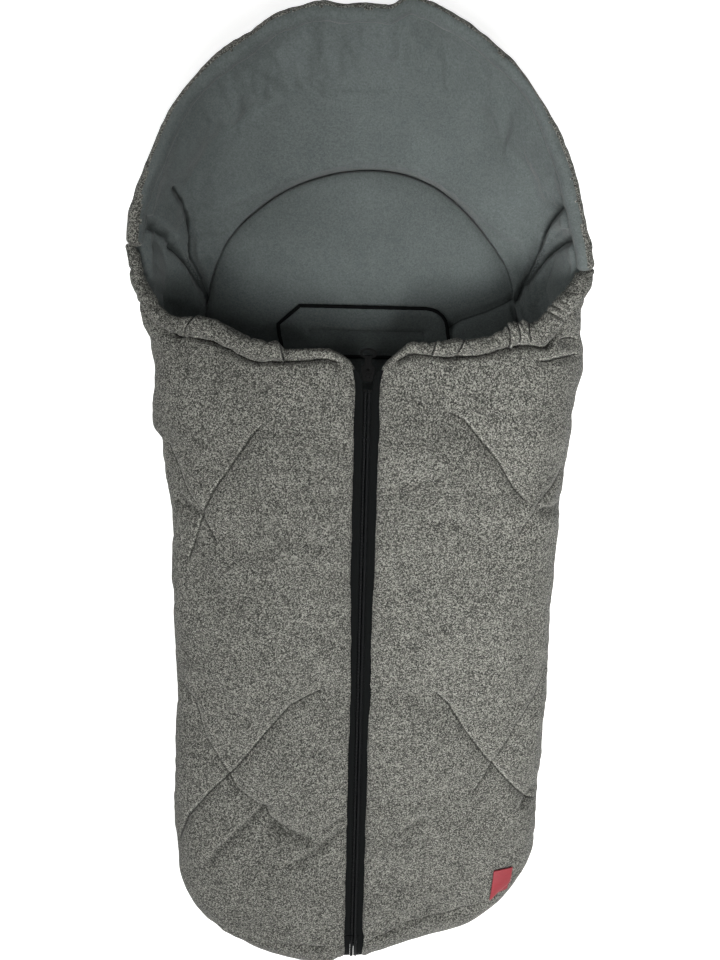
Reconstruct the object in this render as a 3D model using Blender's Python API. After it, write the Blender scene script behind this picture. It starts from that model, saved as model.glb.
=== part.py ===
"""Padded fleece footmuff, lying on its back with the mouth towards +Y.

Metres, +Z up, origin on the floor under the middle of the footmuff. Every layer of
cloth, wadding and fleece is cut from two surfaces: the back, a tray that rises from the
floor to the side seam, and the front, which goes from that seam over the top.
"""
import math

import bmesh
import bpy
from mathutils import Matrix, Vector

# Plan outline of the footmuff, seen from above
BODY_HALF_WIDTH = 0.196
HOOD_HALF_WIDTH = 0.217
FOOT_CENTRE_Y = -0.358
FOOT_DEPTH = 0.127
HOOD_CENTRE_Y = 0.262
HOOD_DEPTH = 0.230
TAPER_START_Y = 0.0

# Heights and the rounding of the edges
TOP_HEIGHT = 0.101
SEAM_HEIGHT = 0.050
HOOD_RIM_HEIGHT = 0.086
RIM_RISE_START_Y = 0.150
RIM_RISE_END_Y = 0.300
BACK_ROUNDING = 0.050
FRONT_ROUNDING = 0.046
HOOD_WALL_LEAN = 18.0

# Layers of the padded wall
FIT_GAP = 0.0003
OUTER_CLOTH = 0.0016
WADDING = 0.0090
LINER_FLEECE = 0.0025
QUILT_LOFT = 0.0040
QUILT_SPREAD = 0.024
QUILT_EDGE_SETBACK = 0.012
PINCH_WIDTH = 0.030

# Semicircular end of the back panel, where the hood is sewn on
HEAD_SEAM_Y = 0.199
HEAD_SEAM_RADIUS = 0.166

# Mouth edge of the front, before its rolled hem
MOUTH_Y = 0.176
MOUTH_CURVE_RISE = 0.034
MOUTH_CURVE_HALF_WIDTH = 0.170
MOUTH_SIDE_Y = 0.270
CORNER_RADIUS = 0.016
ROLL_RADIUS = 0.008
ROLL_BEND_EASE = 0.0006
ROLL_RUFFLE = 0.0007
ROLL_RUFFLE_PITCH = 0.021
COLLAR_RING_SPACING = 0.0105
RIM_RING_SPACING = 0.0135
ELASTIC_RADIUS = 0.0020
ELASTIC_CHANNEL_RADIUS = 0.0027

# Fold line of each front leaf, and the zip opening between the leaves
LEAF_EDGE_X = 0.0115
FOLD_FOOT_X = 0.0145
FOLD_FOOT_Y = -0.430
FOLD_MOUTH_X = 0.160
FOLD_AXIS_LIFT = 0.0016

# Zip
TAPE_THICKNESS = 0.0008
TAPE_WIDTH = 0.0158
WADDING_SETBACK = 0.0088
ROW_HALF_WIDTH = 0.0034
ROW_BAR = 0.0012
ROW_THICKNESS = 0.0026
TOOTH_PITCH = 0.008
TOOTH_REACH = 0.0007
TOOTH_TIP = 0.0026
TOOTH_ROOT = 0.0033
SLIDER_Y = 0.173
SLIDER_LENGTH = 0.016
SLIDER_FRONT_HALF = 0.0066
SLIDER_REAR_HALF = 0.0050
SLIDER_PLATE = 0.0010
SLIDER_FLANGE = 0.0009
SLIDER_CLEARANCE = 0.0003
ROW_PARK_GAP = 0.0075
TAPE_FLARE_START = 0.0013
STOP_LENGTH = 0.0025
BOTTOM_STOP_LENGTH = 0.0030
POST_HALF_WIDTH = 0.0016
POST_LENGTH = 0.0055
BRIDGE_SPAN = 0.0050
BRIDGE_WIDTH = 0.0020
BRIDGE_BAR = 0.0010
TAB_LENGTH = 0.024
TAB_NECK_WIDTH = 0.0064
TAB_THICKNESS = 0.0012
TAB_WINDOW_WIDTH = 0.0030
RING_WIDTH = 0.0160
RING_LENGTH = 0.0100
RING_BAR = 0.0022

# Harness slot through the back
SLOT_Y = 0.207
SLOT_WIDTH = 0.116
SLOT_HEIGHT = 0.0110
BINDING_WALL = 0.0010
FACING_WIDTH = 0.182
FACING_HEIGHT = 0.050
FACING_CORNER = 0.020
FACING_THICKNESS = 0.0012

# Sewn label on the foot
LABEL_WIDTH = 0.022
LABEL_LENGTH = 0.040
LABEL_X = 0.160
LABEL_Y = -0.381
LABEL_THICKNESS = 0.0008

# How finely the curved surfaces are cut into facets
FOOT_STEPS = 8
SIDE_STEPS = 12
MOUTH_STEPS = 4
HEAD_STEPS = 8
ROUND_STEPS = 3
LEAF_STEPS_LONG = 26
LEAF_STEPS_ACROSS = 6
FLAT_STEPS = 4
ROLL_SIDES = 8

WADDING_TOP = OUTER_CLOTH + FIT_GAP
WADDING_UNDER = WADDING_TOP + WADDING
LINER_TOP = WADDING_UNDER + FIT_GAP
WALL = LINER_TOP + LINER_FLEECE
ZIP_Z = TOP_HEIGHT - OUTER_CLOTH - FIT_GAP - TAPE_THICKNESS / 2
MIRRORED = {"left": -1.0, "right": 1.0}
LAYERS = {
    "outer": (0.0, OUTER_CLOTH, "melange"),
    "wadding": (WADDING_TOP, WADDING_UNDER, "wadding"),
    "liner": (LINER_TOP, WALL, "fleece"),
}

# Quilting seams of the right leaf as pairs of ends in plan, mirrored for the left one
QUILT_SEAMS = (
    ((0.080, 0.150), (0.176, -0.020)),
    ((0.192, 0.080), (0.150, 0.030)),
    ((0.040, -0.140), (0.190, -0.320)),
    ((0.190, -0.140), (0.074, -0.307)),
)


def clean_scene():
    for old in list(bpy.data.objects):
        bpy.data.objects.remove(old)


def smooth(value):
    value = min(max(value, 0.0), 1.0)
    return value * value * (3.0 - 2.0 * value)


def paint(name, colour, roughness, metallic=0.0):
    """A plain finish; colours are linear values."""
    material = bpy.data.materials.new(name)
    material.use_nodes = True
    shader = material.node_tree.nodes["Principled BSDF"]
    shader.inputs["Base Color"].default_value = (*colour, 1.0)
    shader.inputs["Roughness"].default_value = roughness
    shader.inputs["Metallic"].default_value = metallic
    material.diffuse_color = (*colour, 1.0)
    return material


FINISHES = {
    "melange": ((0.165, 0.165, 0.150), 0.95, 0.0),
    "fleece": ((0.105, 0.128, 0.125), 1.00, 0.0),
    "wadding": ((0.780, 0.780, 0.760), 1.00, 0.0),
    "tape": ((0.008, 0.008, 0.009), 0.90, 0.0),
    "coil": ((0.006, 0.006, 0.007), 0.45, 0.0),
    "black_metal": ((0.010, 0.010, 0.011), 0.35, 1.0),
    "elastic": ((0.700, 0.700, 0.680), 0.80, 0.0),
    "binding": ((0.012, 0.013, 0.014), 0.90, 0.0),
    "label": ((0.430, 0.028, 0.035), 0.75, 0.0),
}


def finish_object(name, bm, finish):
    """Write the mesh to a named object that has its own finish."""
    bmesh.ops.remove_doubles(bm, verts=bm.verts, dist=1e-6)
    loose = [v for v in bm.verts if not v.link_faces]
    bmesh.ops.delete(bm, geom=loose, context="VERTS")
    bmesh.ops.recalc_face_normals(bm, faces=bm.faces)
    mesh = bpy.data.meshes.new(name)
    bm.to_mesh(mesh)
    bm.free()
    obj = bpy.data.objects.new(name, mesh)
    bpy.context.scene.collection.objects.link(obj)
    colour, roughness, metallic = FINISHES[finish]
    mesh.materials.append(paint(name + "_finish", colour, roughness, metallic))
    return obj


def boundary_edges(faces):
    """Edges that only one face uses, in that face's direction."""
    used = {}
    for face in faces:
        for start, end in zip(face, face[1:] + face[:1]):
            used[(start, end)] = True
    return [edge for edge in used if (edge[1], edge[0]) not in used]


def solid_between(name, outer, inner, faces_out, faces_in, finish):
    """Close the space between two surfaces that share one boundary."""
    bm = bmesh.new()
    top = [bm.verts.new(p) for p in outer]
    low = [bm.verts.new(p) for p in inner]
    for face in faces_out:
        bm.faces.new([top[i] for i in face])
    for face in faces_in:
        bm.faces.new([low[i] for i in reversed(face)])
    for start, end in boundary_edges(faces_out):
        bm.faces.new((top[end], top[start], low[start], low[end]))
    return finish_object(name, bm, finish)


def grid_faces(rows, columns, first=0):
    """Triangles of a grid whose points run along the columns, row by row.

    Every layer is split along the same diagonals, so that nested layers keep their gap.
    """
    faces = []
    for row in range(rows - 1):
        for column in range(columns - 1):
            corner = first + row * columns + column
            faces.append([corner, corner + 1, corner + columns + 1])
            faces.append([corner, corner + columns + 1, corner + columns])
    return faces


def extruded(name, outline, low, high, finish, *holes):
    """A flat outline with thickness, and the holes that it has."""
    bm = bmesh.new()
    edges = []
    for loop in (outline, *holes):
        verts = [bm.verts.new((x, y, low)) for x, y in loop]
        for a, b in zip(verts, verts[1:] + verts[:1]):
            edges.append(bm.edges.new((a, b)))
    bmesh.ops.triangle_fill(bm, edges=edges, use_beauty=True, use_dissolve=False)
    lifted = bmesh.ops.extrude_face_region(bm, geom=list(bm.faces))
    moved = [item for item in lifted["geom"] if isinstance(item, bmesh.types.BMVert)]
    bmesh.ops.translate(bm, verts=moved, vec=(0.0, 0.0, high - low))
    return finish_object(name, bm, finish)


def half_width(y):
    """Half of the outline's width at a place along the footmuff."""
    if y < FOOT_CENTRE_Y:
        part = min((FOOT_CENTRE_Y - y) / FOOT_DEPTH, 1.0)
        return BODY_HALF_WIDTH * math.sqrt(1.0 - part * part)
    if y > HOOD_CENTRE_Y:
        part = min((y - HOOD_CENTRE_Y) / HOOD_DEPTH, 1.0)
        return HOOD_HALF_WIDTH * math.sqrt(1.0 - part * part)
    swell = smooth((y - TAPER_START_Y) / (HOOD_CENTRE_Y - TAPER_START_Y))
    return BODY_HALF_WIDTH + (HOOD_HALF_WIDTH - BODY_HALF_WIDTH) * swell


def seam_height(y):
    """Height of the side seam, which rises into the hood's rim."""
    rise = smooth((y - RIM_RISE_START_Y) / (RIM_RISE_END_Y - RIM_RISE_START_Y))
    return SEAM_HEIGHT + (HOOD_RIM_HEIGHT - SEAM_HEIGHT) * rise


def mouth_y(x):
    """Mouth edge of the flat front at a place across it."""
    return MOUTH_Y + MOUTH_CURVE_RISE * (abs(x) / MOUTH_CURVE_HALF_WIDTH) ** 2


def fold_x(y):
    """The fold line of the right leaf at a place along the footmuff."""
    fold_mouth_y = mouth_y(FOLD_MOUTH_X)
    part = (y - FOLD_FOOT_Y) / (fold_mouth_y - FOLD_FOOT_Y)
    return FOLD_FOOT_X + (FOLD_MOUTH_X - FOLD_FOOT_X) * part


def fold_direction():
    run = Vector((FOLD_MOUTH_X - FOLD_FOOT_X, mouth_y(FOLD_MOUTH_X) - FOLD_FOOT_Y, 0.0))
    return run.normalized()


FOLD_GAP_X = FIT_GAP / 2.0 / fold_direction().y


def normal_of(surface, u, v, step=1e-4):
    """Unit normal of a surface given by a formula, pointing away from the bag's inside."""
    along = surface(u + step, v) - surface(u - step, v)
    across = surface(u, v + step) - surface(u, v - step)
    return along.cross(across).normalized()


# The back: u runs along the outline, v from the flat (0) up to the seam or rim (1)

def back_wall(u, v):
    """u 0 to 1 is the foot from its middle, 1 to 2 the side, up to the head seam."""
    angle = math.radians(90.0) * v
    if u < 1.0:
        turn = math.radians(90.0) * u
        y_edge = FOOT_CENTRE_Y - FOOT_DEPTH * math.cos(turn)
        y_flat = FOOT_CENTRE_Y - (FOOT_DEPTH - BACK_ROUNDING) * math.cos(turn)
        x_edge = BODY_HALF_WIDTH * math.sin(turn)
        x_flat = (BODY_HALF_WIDTH - BACK_ROUNDING) * math.sin(turn)
    else:
        y_edge = FOOT_CENTRE_Y + (HEAD_SEAM_Y - FOOT_CENTRE_Y) * (u - 1.0)
        y_flat = y_edge
        x_edge = half_width(y_edge)
        inset = BACK_ROUNDING + (x_edge - HEAD_SEAM_RADIUS - BACK_ROUNDING) * smooth(u * 2.0 - 3.0)
        x_flat = x_edge - inset
    x = x_flat + (x_edge - x_flat) * math.sin(angle)
    y = y_flat + (y_edge - y_flat) * math.sin(angle)
    return Vector((x, y, seam_height(y_edge) * (1.0 - math.cos(angle))))


STRAIGHT_PART = 0.15


def head_outline(part):
    """Outline of the head from the head seam (0) to its top in the middle (1)."""
    if part < STRAIGHT_PART:
        y = HEAD_SEAM_Y + (HOOD_CENTRE_Y - HEAD_SEAM_Y) * part / STRAIGHT_PART
        return Vector((half_width(y), y, 0.0))
    turn = math.radians(90.0) * (part - STRAIGHT_PART) / (1.0 - STRAIGHT_PART)
    return Vector((HOOD_HALF_WIDTH * math.cos(turn), HOOD_CENTRE_Y + HOOD_DEPTH * math.sin(turn), 0.0))


def head_part(y):
    """Where along the head's outline a place along the footmuff lies."""
    if y < HOOD_CENTRE_Y:
        return STRAIGHT_PART * (y - HEAD_SEAM_Y) / (HOOD_CENTRE_Y - HEAD_SEAM_Y)
    turn = math.asin((y - HOOD_CENTRE_Y) / HOOD_DEPTH)
    return STRAIGHT_PART + (1.0 - STRAIGHT_PART) * turn / math.radians(90.0)


def hood_columns():
    """Places round the hood, which match the mouth's edge where that stands on it."""
    beside_mouth = [head_part(y) for y in steps(HEAD_SEAM_Y, MOUTH_SIDE_Y, MOUTH_STEPS)]
    right = beside_mouth + steps(beside_mouth[-1], 1.0, HEAD_STEPS)[1:]
    return right + [2.0 - part for part in reversed(right[:-1])]


def hood_wall(u, v):
    """u 0 is the right end of the head seam, 1 the top of the head, 2 the left end."""
    side = 1.0 if u <= 1.0 else -1.0
    part = u if u <= 1.0 else 2.0 - u
    turn = math.radians(90.0) * part
    edge = head_outline(max(part, 0.0))
    if part < 0.0:
        edge = Vector((half_width(HEAD_SEAM_Y), HEAD_SEAM_Y + part * HOOD_DEPTH, 0.0))
    flat = Vector((HEAD_SEAM_RADIUS * math.cos(turn), HEAD_SEAM_Y + HEAD_SEAM_RADIUS * math.sin(turn), 0.0))
    lean = HOOD_WALL_LEAN * smooth((part - 0.24) / 0.36)
    full = math.radians(90.0 - lean)
    point = flat + (edge - flat) * (math.sin(full * v) / math.sin(full))
    point.z = seam_height(edge.y) * (1.0 - math.cos(full * v)) / (1.0 - math.cos(full))
    point.x *= side
    return point


def front_wall(u, v):
    """u as for the back's wall, with 2 to 3 up to the mouth; v from the seam to the flat top."""
    angle = math.radians(90.0) * v
    reach = math.cos(angle)
    if u < 1.0:
        x_inset = BODY_HALF_WIDTH - FRONT_ROUNDING * (1.0 - reach)
        y_inset = FOOT_DEPTH - FRONT_ROUNDING * (1.0 - reach)
        first = math.asin(LEAF_EDGE_X / x_inset)
        turn = first + (math.radians(90.0) - first) * u
        x = x_inset * math.sin(turn)
        y = FOOT_CENTRE_Y - y_inset * math.cos(turn)
        z_seam = SEAM_HEIGHT
    else:
        y = FOOT_CENTRE_Y + (HEAD_SEAM_Y - FOOT_CENTRE_Y) * (u - 1.0)
        if u > 2.0:
            y = HEAD_SEAM_Y + (mouth_side_y(v) - HEAD_SEAM_Y) * (u - 2.0)
        x = half_width(y) - FRONT_ROUNDING * (1.0 - reach)
        z_seam = seam_height(y)
    return Vector((x, y, z_seam + (TOP_HEIGHT - z_seam) * math.sin(angle)))


def mouth_side_y(v):
    """The mouth edge on the side, from the flat top (v 1) forward to the rim (v 0)."""
    flat_end = mouth_y(half_width(MOUTH_Y + MOUTH_CURVE_RISE) - FRONT_ROUNDING)
    return flat_end + (MOUTH_SIDE_Y - flat_end) * (1.0 - math.sin(math.radians(90.0) * v))


def quilt_height(x, y):
    """Loft of the wadding between the quilting seams, nothing at seams and leaf edges."""
    place = Vector((abs(x), y))
    nearest = abs(x) - LEAF_EDGE_X + QUILT_EDGE_SETBACK
    across_fold = (abs(x) - fold_x(y)) * fold_direction().y
    nearest = min(nearest, abs(across_fold), mouth_y(x) - y)
    for start, end in QUILT_SEAMS:
        a = Vector(start)
        run = Vector(end) - a
        share = min(max((place - a).dot(run) / run.dot(run), 0.0), 1.0)
        nearest = min(nearest, (place - a - run * share).length)
    nearest = max(nearest, 0.0)
    return QUILT_LOFT * (1.0 - math.exp(-((nearest / QUILT_SPREAD) ** 2)))


def flip(points, side):
    return [Vector((p.x * side, p.y, p.z)) for p in points]


def steps(start, end, count):
    return [start + (end - start) * i / count for i in range(count + 1)]


def offset(samples, depth):
    return [point - normal * depth for point, normal in samples]


# Back panel, one layer inside the other

def back_samples():
    """Points and normals of the tray's wall, and the faces of wall and flat."""
    turns = steps(0.0, 1.0, FOOT_STEPS)[1:] + steps(1.0, 2.0, SIDE_STEPS)[1:]
    right = [(u, 1.0) for u in reversed(turns)]
    columns = right + [(0.0, 1.0)] + [(u, -1.0) for u in turns]
    samples = []
    for v in steps(0.0, 1.0, ROUND_STEPS):
        for u, side in columns:
            point = back_wall(u, v)
            normal = normal_of(back_wall, max(u, 1e-3), min(max(v, 1e-3), 1.0 - 1e-3))
            normal = Vector((0.0, 0.0, -1.0)) if v == 0.0 else normal
            if u == 0.0:
                normal.x = 0.0
            if u == 2.0:
                normal.y = 0.0
            if v == 1.0:
                normal.z = 0.0
            normal.normalize()
            samples.append((Vector((point.x * side, point.y, point.z)),
                            Vector((normal.x * side, normal.y, normal.z))))
    count = len(columns)
    faces = grid_faces(ROUND_STEPS + 1, count)
    arc = []
    for angle in steps(180.0, 0.0, 2 * HEAD_STEPS)[1:-1]:
        turn = math.radians(angle)
        radius = HEAD_SEAM_RADIUS - FIT_GAP
        arc.append(len(samples))
        samples.append((Vector((radius * math.cos(turn), HEAD_SEAM_Y + radius * math.sin(turn), 0.0)),
                        Vector((0.0, 0.0, -1.0))))
    faces.append(list(reversed(list(range(count)) + arc)))
    return samples, faces


def cut_slot(obj, width, height):
    """Cut the harness slot through one layer of the back."""
    bm = bmesh.new()
    bmesh.ops.create_cube(bm, size=1.0)
    bmesh.ops.scale(bm, verts=bm.verts, vec=(width, height, 4.0 * WALL))
    bmesh.ops.translate(bm, verts=bm.verts, vec=(0.0, SLOT_Y, WALL))
    upright = [e for e in bm.edges if abs(e.verts[0].co.z - e.verts[1].co.z) > WALL]
    bmesh.ops.bevel(bm, geom=upright, offset=height * 0.48, segments=3, profile=0.5,
                    affect="EDGES", material=-1)
    cutter = finish_object(obj.name + "_slot_cutter", bm, "binding")
    cutter.hide_render = True
    cutter.display_type = "WIRE"
    cut = obj.modifiers.new("harness slot", "BOOLEAN")
    cut.operation = "DIFFERENCE"
    cut.object = cutter


def make_back():
    samples, faces = back_samples()
    for layer, (top, under, finish) in LAYERS.items():
        obj = solid_between("back_" + layer, offset(samples, top), offset(samples, under),
                            faces, faces, finish)
        cut_slot(obj, SLOT_WIDTH, SLOT_HEIGHT)


def slot_outline(width, height):
    """A long slot with round ends."""
    radius = height * 0.48
    outline = []
    corners = ((1, -1, -90), (1, 1, 0), (-1, 1, 90), (-1, -1, 180))
    for across, up, start in corners:
        centre_x = across * (width / 2.0 - radius)
        centre_y = SLOT_Y + up * (height / 2.0 - radius)
        for angle in steps(start, start + 90.0, 3):
            turn = math.radians(angle)
            outline.append((centre_x + radius * math.cos(turn), centre_y + radius * math.sin(turn)))
    return outline


def make_slot_trim():
    """Facing patch on the fleece, and the binding that lines the slot."""
    sleeve_width = SLOT_WIDTH - 2.0 * FIT_GAP
    sleeve_height = SLOT_HEIGHT - 2.0 * FIT_GAP
    hole = slot_outline(sleeve_width - 2.0 * BINDING_WALL, sleeve_height - 2.0 * BINDING_WALL)
    facing_low = WALL + FIT_GAP
    extruded("slot_binding", slot_outline(sleeve_width, sleeve_height),
             FIT_GAP, WALL, "binding", hole)
    half_w = FACING_WIDTH / 2.0
    half_h = FACING_HEIGHT / 2.0
    octagon = []
    for sx, sy in ((1, -1), (1, 1), (-1, 1), (-1, -1)):
        corner = [(sx * (half_w - FACING_CORNER), SLOT_Y + sy * half_h),
                  (sx * half_w, SLOT_Y + sy * (half_h - FACING_CORNER))]
        octagon += corner if sx * sy < 0 else corner[::-1]
    extruded("slot_facing", octagon, facing_low, facing_low + FACING_THICKNESS, "fleece",
             slot_outline(SLOT_WIDTH, SLOT_HEIGHT))


# Hood

def hood_samples():
    columns = hood_columns()
    samples = []
    for v in steps(0.0, 1.0, ROUND_STEPS + 1):
        for u in columns:
            point = hood_wall(u, v)
            inner_u = min(max(u, 1e-3), 2.0 - 1e-3)
            normal = normal_of(hood_wall, inner_u, min(max(v, 1e-3), 1.0 - 1e-3))
            if abs(u - 1.0) < 1e-6:
                left = normal_of(hood_wall, 1.0 - 1e-2, min(max(v, 1e-3), 1.0 - 1e-3))
                normal = Vector((0.0, left.y, left.z))
            if u in (0.0, 2.0):
                normal.y = 0.0
            if v == 1.0 and min(u, 2.0 - u) < head_part(MOUTH_SIDE_Y) + 1e-6:
                normal.z = 0.0
            if v == 0.0:
                normal = Vector((0.0, 0.0, -1.0))
            samples.append((point, normal.normalized()))
    return samples, grid_faces(ROUND_STEPS + 2, len(columns))


def make_hood():
    samples, faces = hood_samples()
    shifted = []
    for point, normal in samples:
        lifted = point + Vector((0.0, FIT_GAP, 0.0))
        shifted.append((lifted, normal))
    for layer, (top, under, finish) in LAYERS.items():
        solid_between("hood_" + layer, offset(shifted, top), offset(shifted, under),
                      faces, faces, finish)


# Fixed side of each front leaf: round the side and foot, in to the fold line

def side_columns():
    along_side = steps(1.0, 2.0, SIDE_STEPS)[1:] + steps(2.0, 3.0, MOUTH_STEPS)[1:]
    return steps(0.0, 1.0, FOOT_STEPS) + along_side


def side_samples():
    """Rounded part from the seam up, then the flat in to the fold line."""
    columns = side_columns()
    samples = []
    for v in steps(0.0, 1.0, ROUND_STEPS + 1):
        for u in columns:
            point = front_wall(u, v)
            inner_v = min(max(v, 1e-3), 1.0 - 1e-3)
            inner_u = min(max(u, 1e-3), 3.0 - 1e-3)
            normal = normal_of(front_wall, inner_u, inner_v)
            if u == 0.0:
                normal.x = 0.0
            if u == 2.0:
                normal.y = 0.0
            if v == 0.0:
                normal.z = 0.0
            if v == 1.0:
                normal = Vector((0.0, 0.0, 1.0))
            samples.append((point + Vector((0.0, 0.0, FIT_GAP)) * (v == 0.0), normal.normalized()))
    first_flat = len(samples)
    top_row = samples[first_flat - len(columns):]
    for share in steps(0.0, 1.0, FLAT_STEPS)[1:]:
        for (point, normal), u in zip(top_row, columns):
            inner = fold_side_point(point, u)
            samples.append((point + (inner - point) * share, normal))
    return samples, columns


def fold_side_point(point, u):
    """Where the flat behind a point of the rounding ends: at the fold or the zip."""
    if u == 0.0:
        return Vector((LEAF_EDGE_X, FOLD_FOOT_Y - FIT_GAP, TOP_HEIGHT))
    if u <= 1.0:
        corner = 1.0 / FOOT_STEPS
        share = (u - corner) / (1.0 - corner)
        y = FOLD_FOOT_Y - FIT_GAP + (FOOT_CENTRE_Y - FOLD_FOOT_Y) * share ** 2
    elif u <= 2.0:
        y = FOOT_CENTRE_Y + (HEAD_SEAM_Y - CORNER_RADIUS - FOOT_CENTRE_Y) * (u - 1.0)
    else:
        start = HEAD_SEAM_Y - CORNER_RADIUS
        y = start + (mouth_y(FOLD_MOUTH_X) - start) * (u - 2.0)
    return Vector((fold_x(y) + FOLD_GAP_X, y, TOP_HEIGHT))


def set_back(samples, count):
    """Draw the wadding back from the zip, so that the tape lies beside it."""
    edge_x = LEAF_EDGE_X + WADDING_SETBACK
    moved = list(samples)
    for row in range(ROUND_STEPS + 2):
        point, normal = samples[row * count]
        beside, beside_normal = samples[row * count + 1]
        share = (edge_x - point.x) / (beside.x - point.x)
        moved[row * count] = (point.lerp(beside, share), normal.lerp(beside_normal, share).normalized())
    start, normal = moved[(ROUND_STEPS + 1) * count]
    end = Vector((FOLD_FOOT_X + 2.0 * FIT_GAP, FOLD_FOOT_Y, TOP_HEIGHT))
    for step in range(1, FLAT_STEPS + 1):
        moved[(ROUND_STEPS + 1 + step) * count] = (start.lerp(end, step / FLAT_STEPS), normal)
    return moved


def make_side(side_name):
    side = MIRRORED[side_name]
    samples, columns = side_samples()
    count = len(columns)
    rows = ROUND_STEPS + 2 + FLAT_STEPS
    faces = grid_faces(rows, count)
    padded = set_back(samples, count)
    for layer, (top, under, finish) in LAYERS.items():
        laid = padded if layer == "wadding" else samples
        outer = offset(laid, top)
        if layer == "outer":
            flat_from = (ROUND_STEPS + 1) * count
            for index in range(flat_from + count, len(outer)):
                outer[index].z += quilt_height(outer[index].x, outer[index].y)
        inner = offset(laid, under)
        use = faces if side > 0 else [face[::-1] for face in faces]
        solid_between(f"{side_name}_side_{layer}", flip(outer, side), flip(inner, side),
                      use, use, finish)


# Folding part of each front leaf

def leaf_inner_x(y):
    """Zip edge of the leaf, rounded at its upper corner."""
    start = MOUTH_Y - CORNER_RADIUS
    if y <= start:
        return LEAF_EDGE_X
    rise = min(y - start, CORNER_RADIUS)
    return LEAF_EDGE_X + CORNER_RADIUS - math.sqrt(CORNER_RADIUS ** 2 - rise ** 2)


def leaf_point(column, along):
    """Column 0 is the zip edge, 1 the wadding's edge beside the tape, the last the fold."""
    corner_x = LEAF_EDGE_X + CORNER_RADIUS
    share = max(column - 1, 0) / (LEAF_STEPS_ACROSS - 1)
    setback = WADDING_SETBACK if column else 0.0
    mouth_x = corner_x + setback + (FOLD_MOUTH_X - corner_x - setback) * share
    y = FOLD_FOOT_Y + (mouth_y(mouth_x) - FOLD_FOOT_Y) * along
    inner = leaf_inner_x(y)
    outer = fold_x(y) - FOLD_GAP_X
    inner += min(setback, (outer - inner) * 0.5)
    return Vector((inner + (outer - inner) * share, y, TOP_HEIGHT))


def pinch(x, depth):
    """Depth of the lining side, drawn up to the zip tape at the leaf's edge."""
    at_edge = OUTER_CLOTH + 2.0 * FIT_GAP + TAPE_THICKNESS
    spread = smooth((x - LEAF_EDGE_X) / PINCH_WIDTH)
    return depth - (LINER_TOP - at_edge) * (1.0 - spread)


def leaf_layer(name, side, first_column, top, under, plain_side, finish):
    """One layer of the folding leaf; top and under give each point's height."""
    alongs = steps(0.0, 1.0, LEAF_STEPS_LONG)
    columns = range(first_column, LEAF_STEPS_ACROSS + 1)
    points = [leaf_point(column, along) for along in alongs for column in columns]
    faces = grid_faces(len(alongs), len(columns))
    flat = [boundary_loop(faces)]
    if side < 0:
        faces = [face[::-1] for face in faces]
        flat = [flat[0][::-1]]
    high = [Vector((p.x, p.y, top(p))) for p in points]
    low = [Vector((p.x, p.y, under(p))) for p in points]
    faces_out = flat if plain_side == "top" else faces
    faces_in = flat if plain_side == "under" else faces
    solid_between(name, flip(high, side), flip(low, side), faces_out, faces_in, finish)


def make_leaf(side_name):
    side = MIRRORED[side_name]
    leaf_layer(f"{side_name}_leaf_outer", side, 0,
               lambda p: TOP_HEIGHT + quilt_height(p.x, p.y),
               lambda p: TOP_HEIGHT - OUTER_CLOTH, "under", "melange")
    leaf_layer(f"{side_name}_leaf_wadding", side, 1,
               lambda p: TOP_HEIGHT - WADDING_TOP,
               lambda p: TOP_HEIGHT - pinch(p.x, LINER_TOP) + FIT_GAP, "top", "wadding")
    leaf_layer(f"{side_name}_leaf_liner", side, 0,
               lambda p: TOP_HEIGHT - pinch(p.x, LINER_TOP),
               lambda p: TOP_HEIGHT - pinch(p.x, WALL), "none", "fleece")


def boundary_loop(faces):
    """The outline of a set of faces as one face in the same direction."""
    follow = dict(boundary_edges(faces))
    start = next(iter(follow))
    loop = [start]
    while follow[loop[-1]] != start:
        loop.append(follow[loop[-1]])
    return loop


# Rolled hems of the mouth and the hood

def rolled_path(edge_points, normals, outwards):
    """Middle line of the roll that closes the layers' edges."""
    path = []
    for point, normal, outward in zip(edge_points, normals, outwards):
        path.append(point - normal * (WALL / 2.0) + outward * (ROLL_RADIUS + FIT_GAP))
    return path


def mouth_edge():
    """Edge of the right front from the zip corner to the rim, with its directions."""
    points, normals, outwards = [], [], []
    up = Vector((0.0, 0.0, 1.0))
    start = LEAF_EDGE_X + CORNER_RADIUS * 0.55
    flat_end = front_wall(3.0, 1.0).x
    for x in steps(start, flat_end, 15):
        slope = 2.0 * MOUTH_CURVE_RISE * x / MOUTH_CURVE_HALF_WIDTH ** 2
        points.append(Vector((x, mouth_y(x), TOP_HEIGHT)))
        normals.append(up)
        outwards.append(Vector((-slope, 1.0, 0.0)).normalized())
    for row in (3, 2):
        v = row / (ROUND_STEPS + 1)
        point = front_wall(3.0, v)
        normal = normal_of(front_wall, 3.0 - 1e-3, v)
        step = 0.5 / (ROUND_STEPS + 1)
        run = (front_wall(3.0, v - step) - front_wall(3.0, v + step)).normalized()
        outward = normal.cross(run)
        outward = outward if outward.y > 0 else -outward
        points.append(point + outward.normalized() * ROLL_BEND_EASE)
        normals.append(normal)
        outwards.append(outward.normalized())
    return rolled_path(points, normals, outwards)


def rim_edge():
    """Edge of the hood from its right end over the top to its left end."""
    points, normals, outwards = [], [], []
    start = head_part(MOUTH_SIDE_Y) + 0.05
    for u in steps(start, 2.0 - start, 2 * HEAD_STEPS + 8):
        point = hood_wall(u, 1.0)
        normal = normal_of(hood_wall, u + 1e-3, 1.0 - 1e-3)
        tangent = (hood_wall(u, 1.0) - hood_wall(u, 0.98)).normalized()
        points.append(point)
        normals.append(normal)
        outwards.append(tangent)
    return rolled_path(points, normals, outwards)


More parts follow.
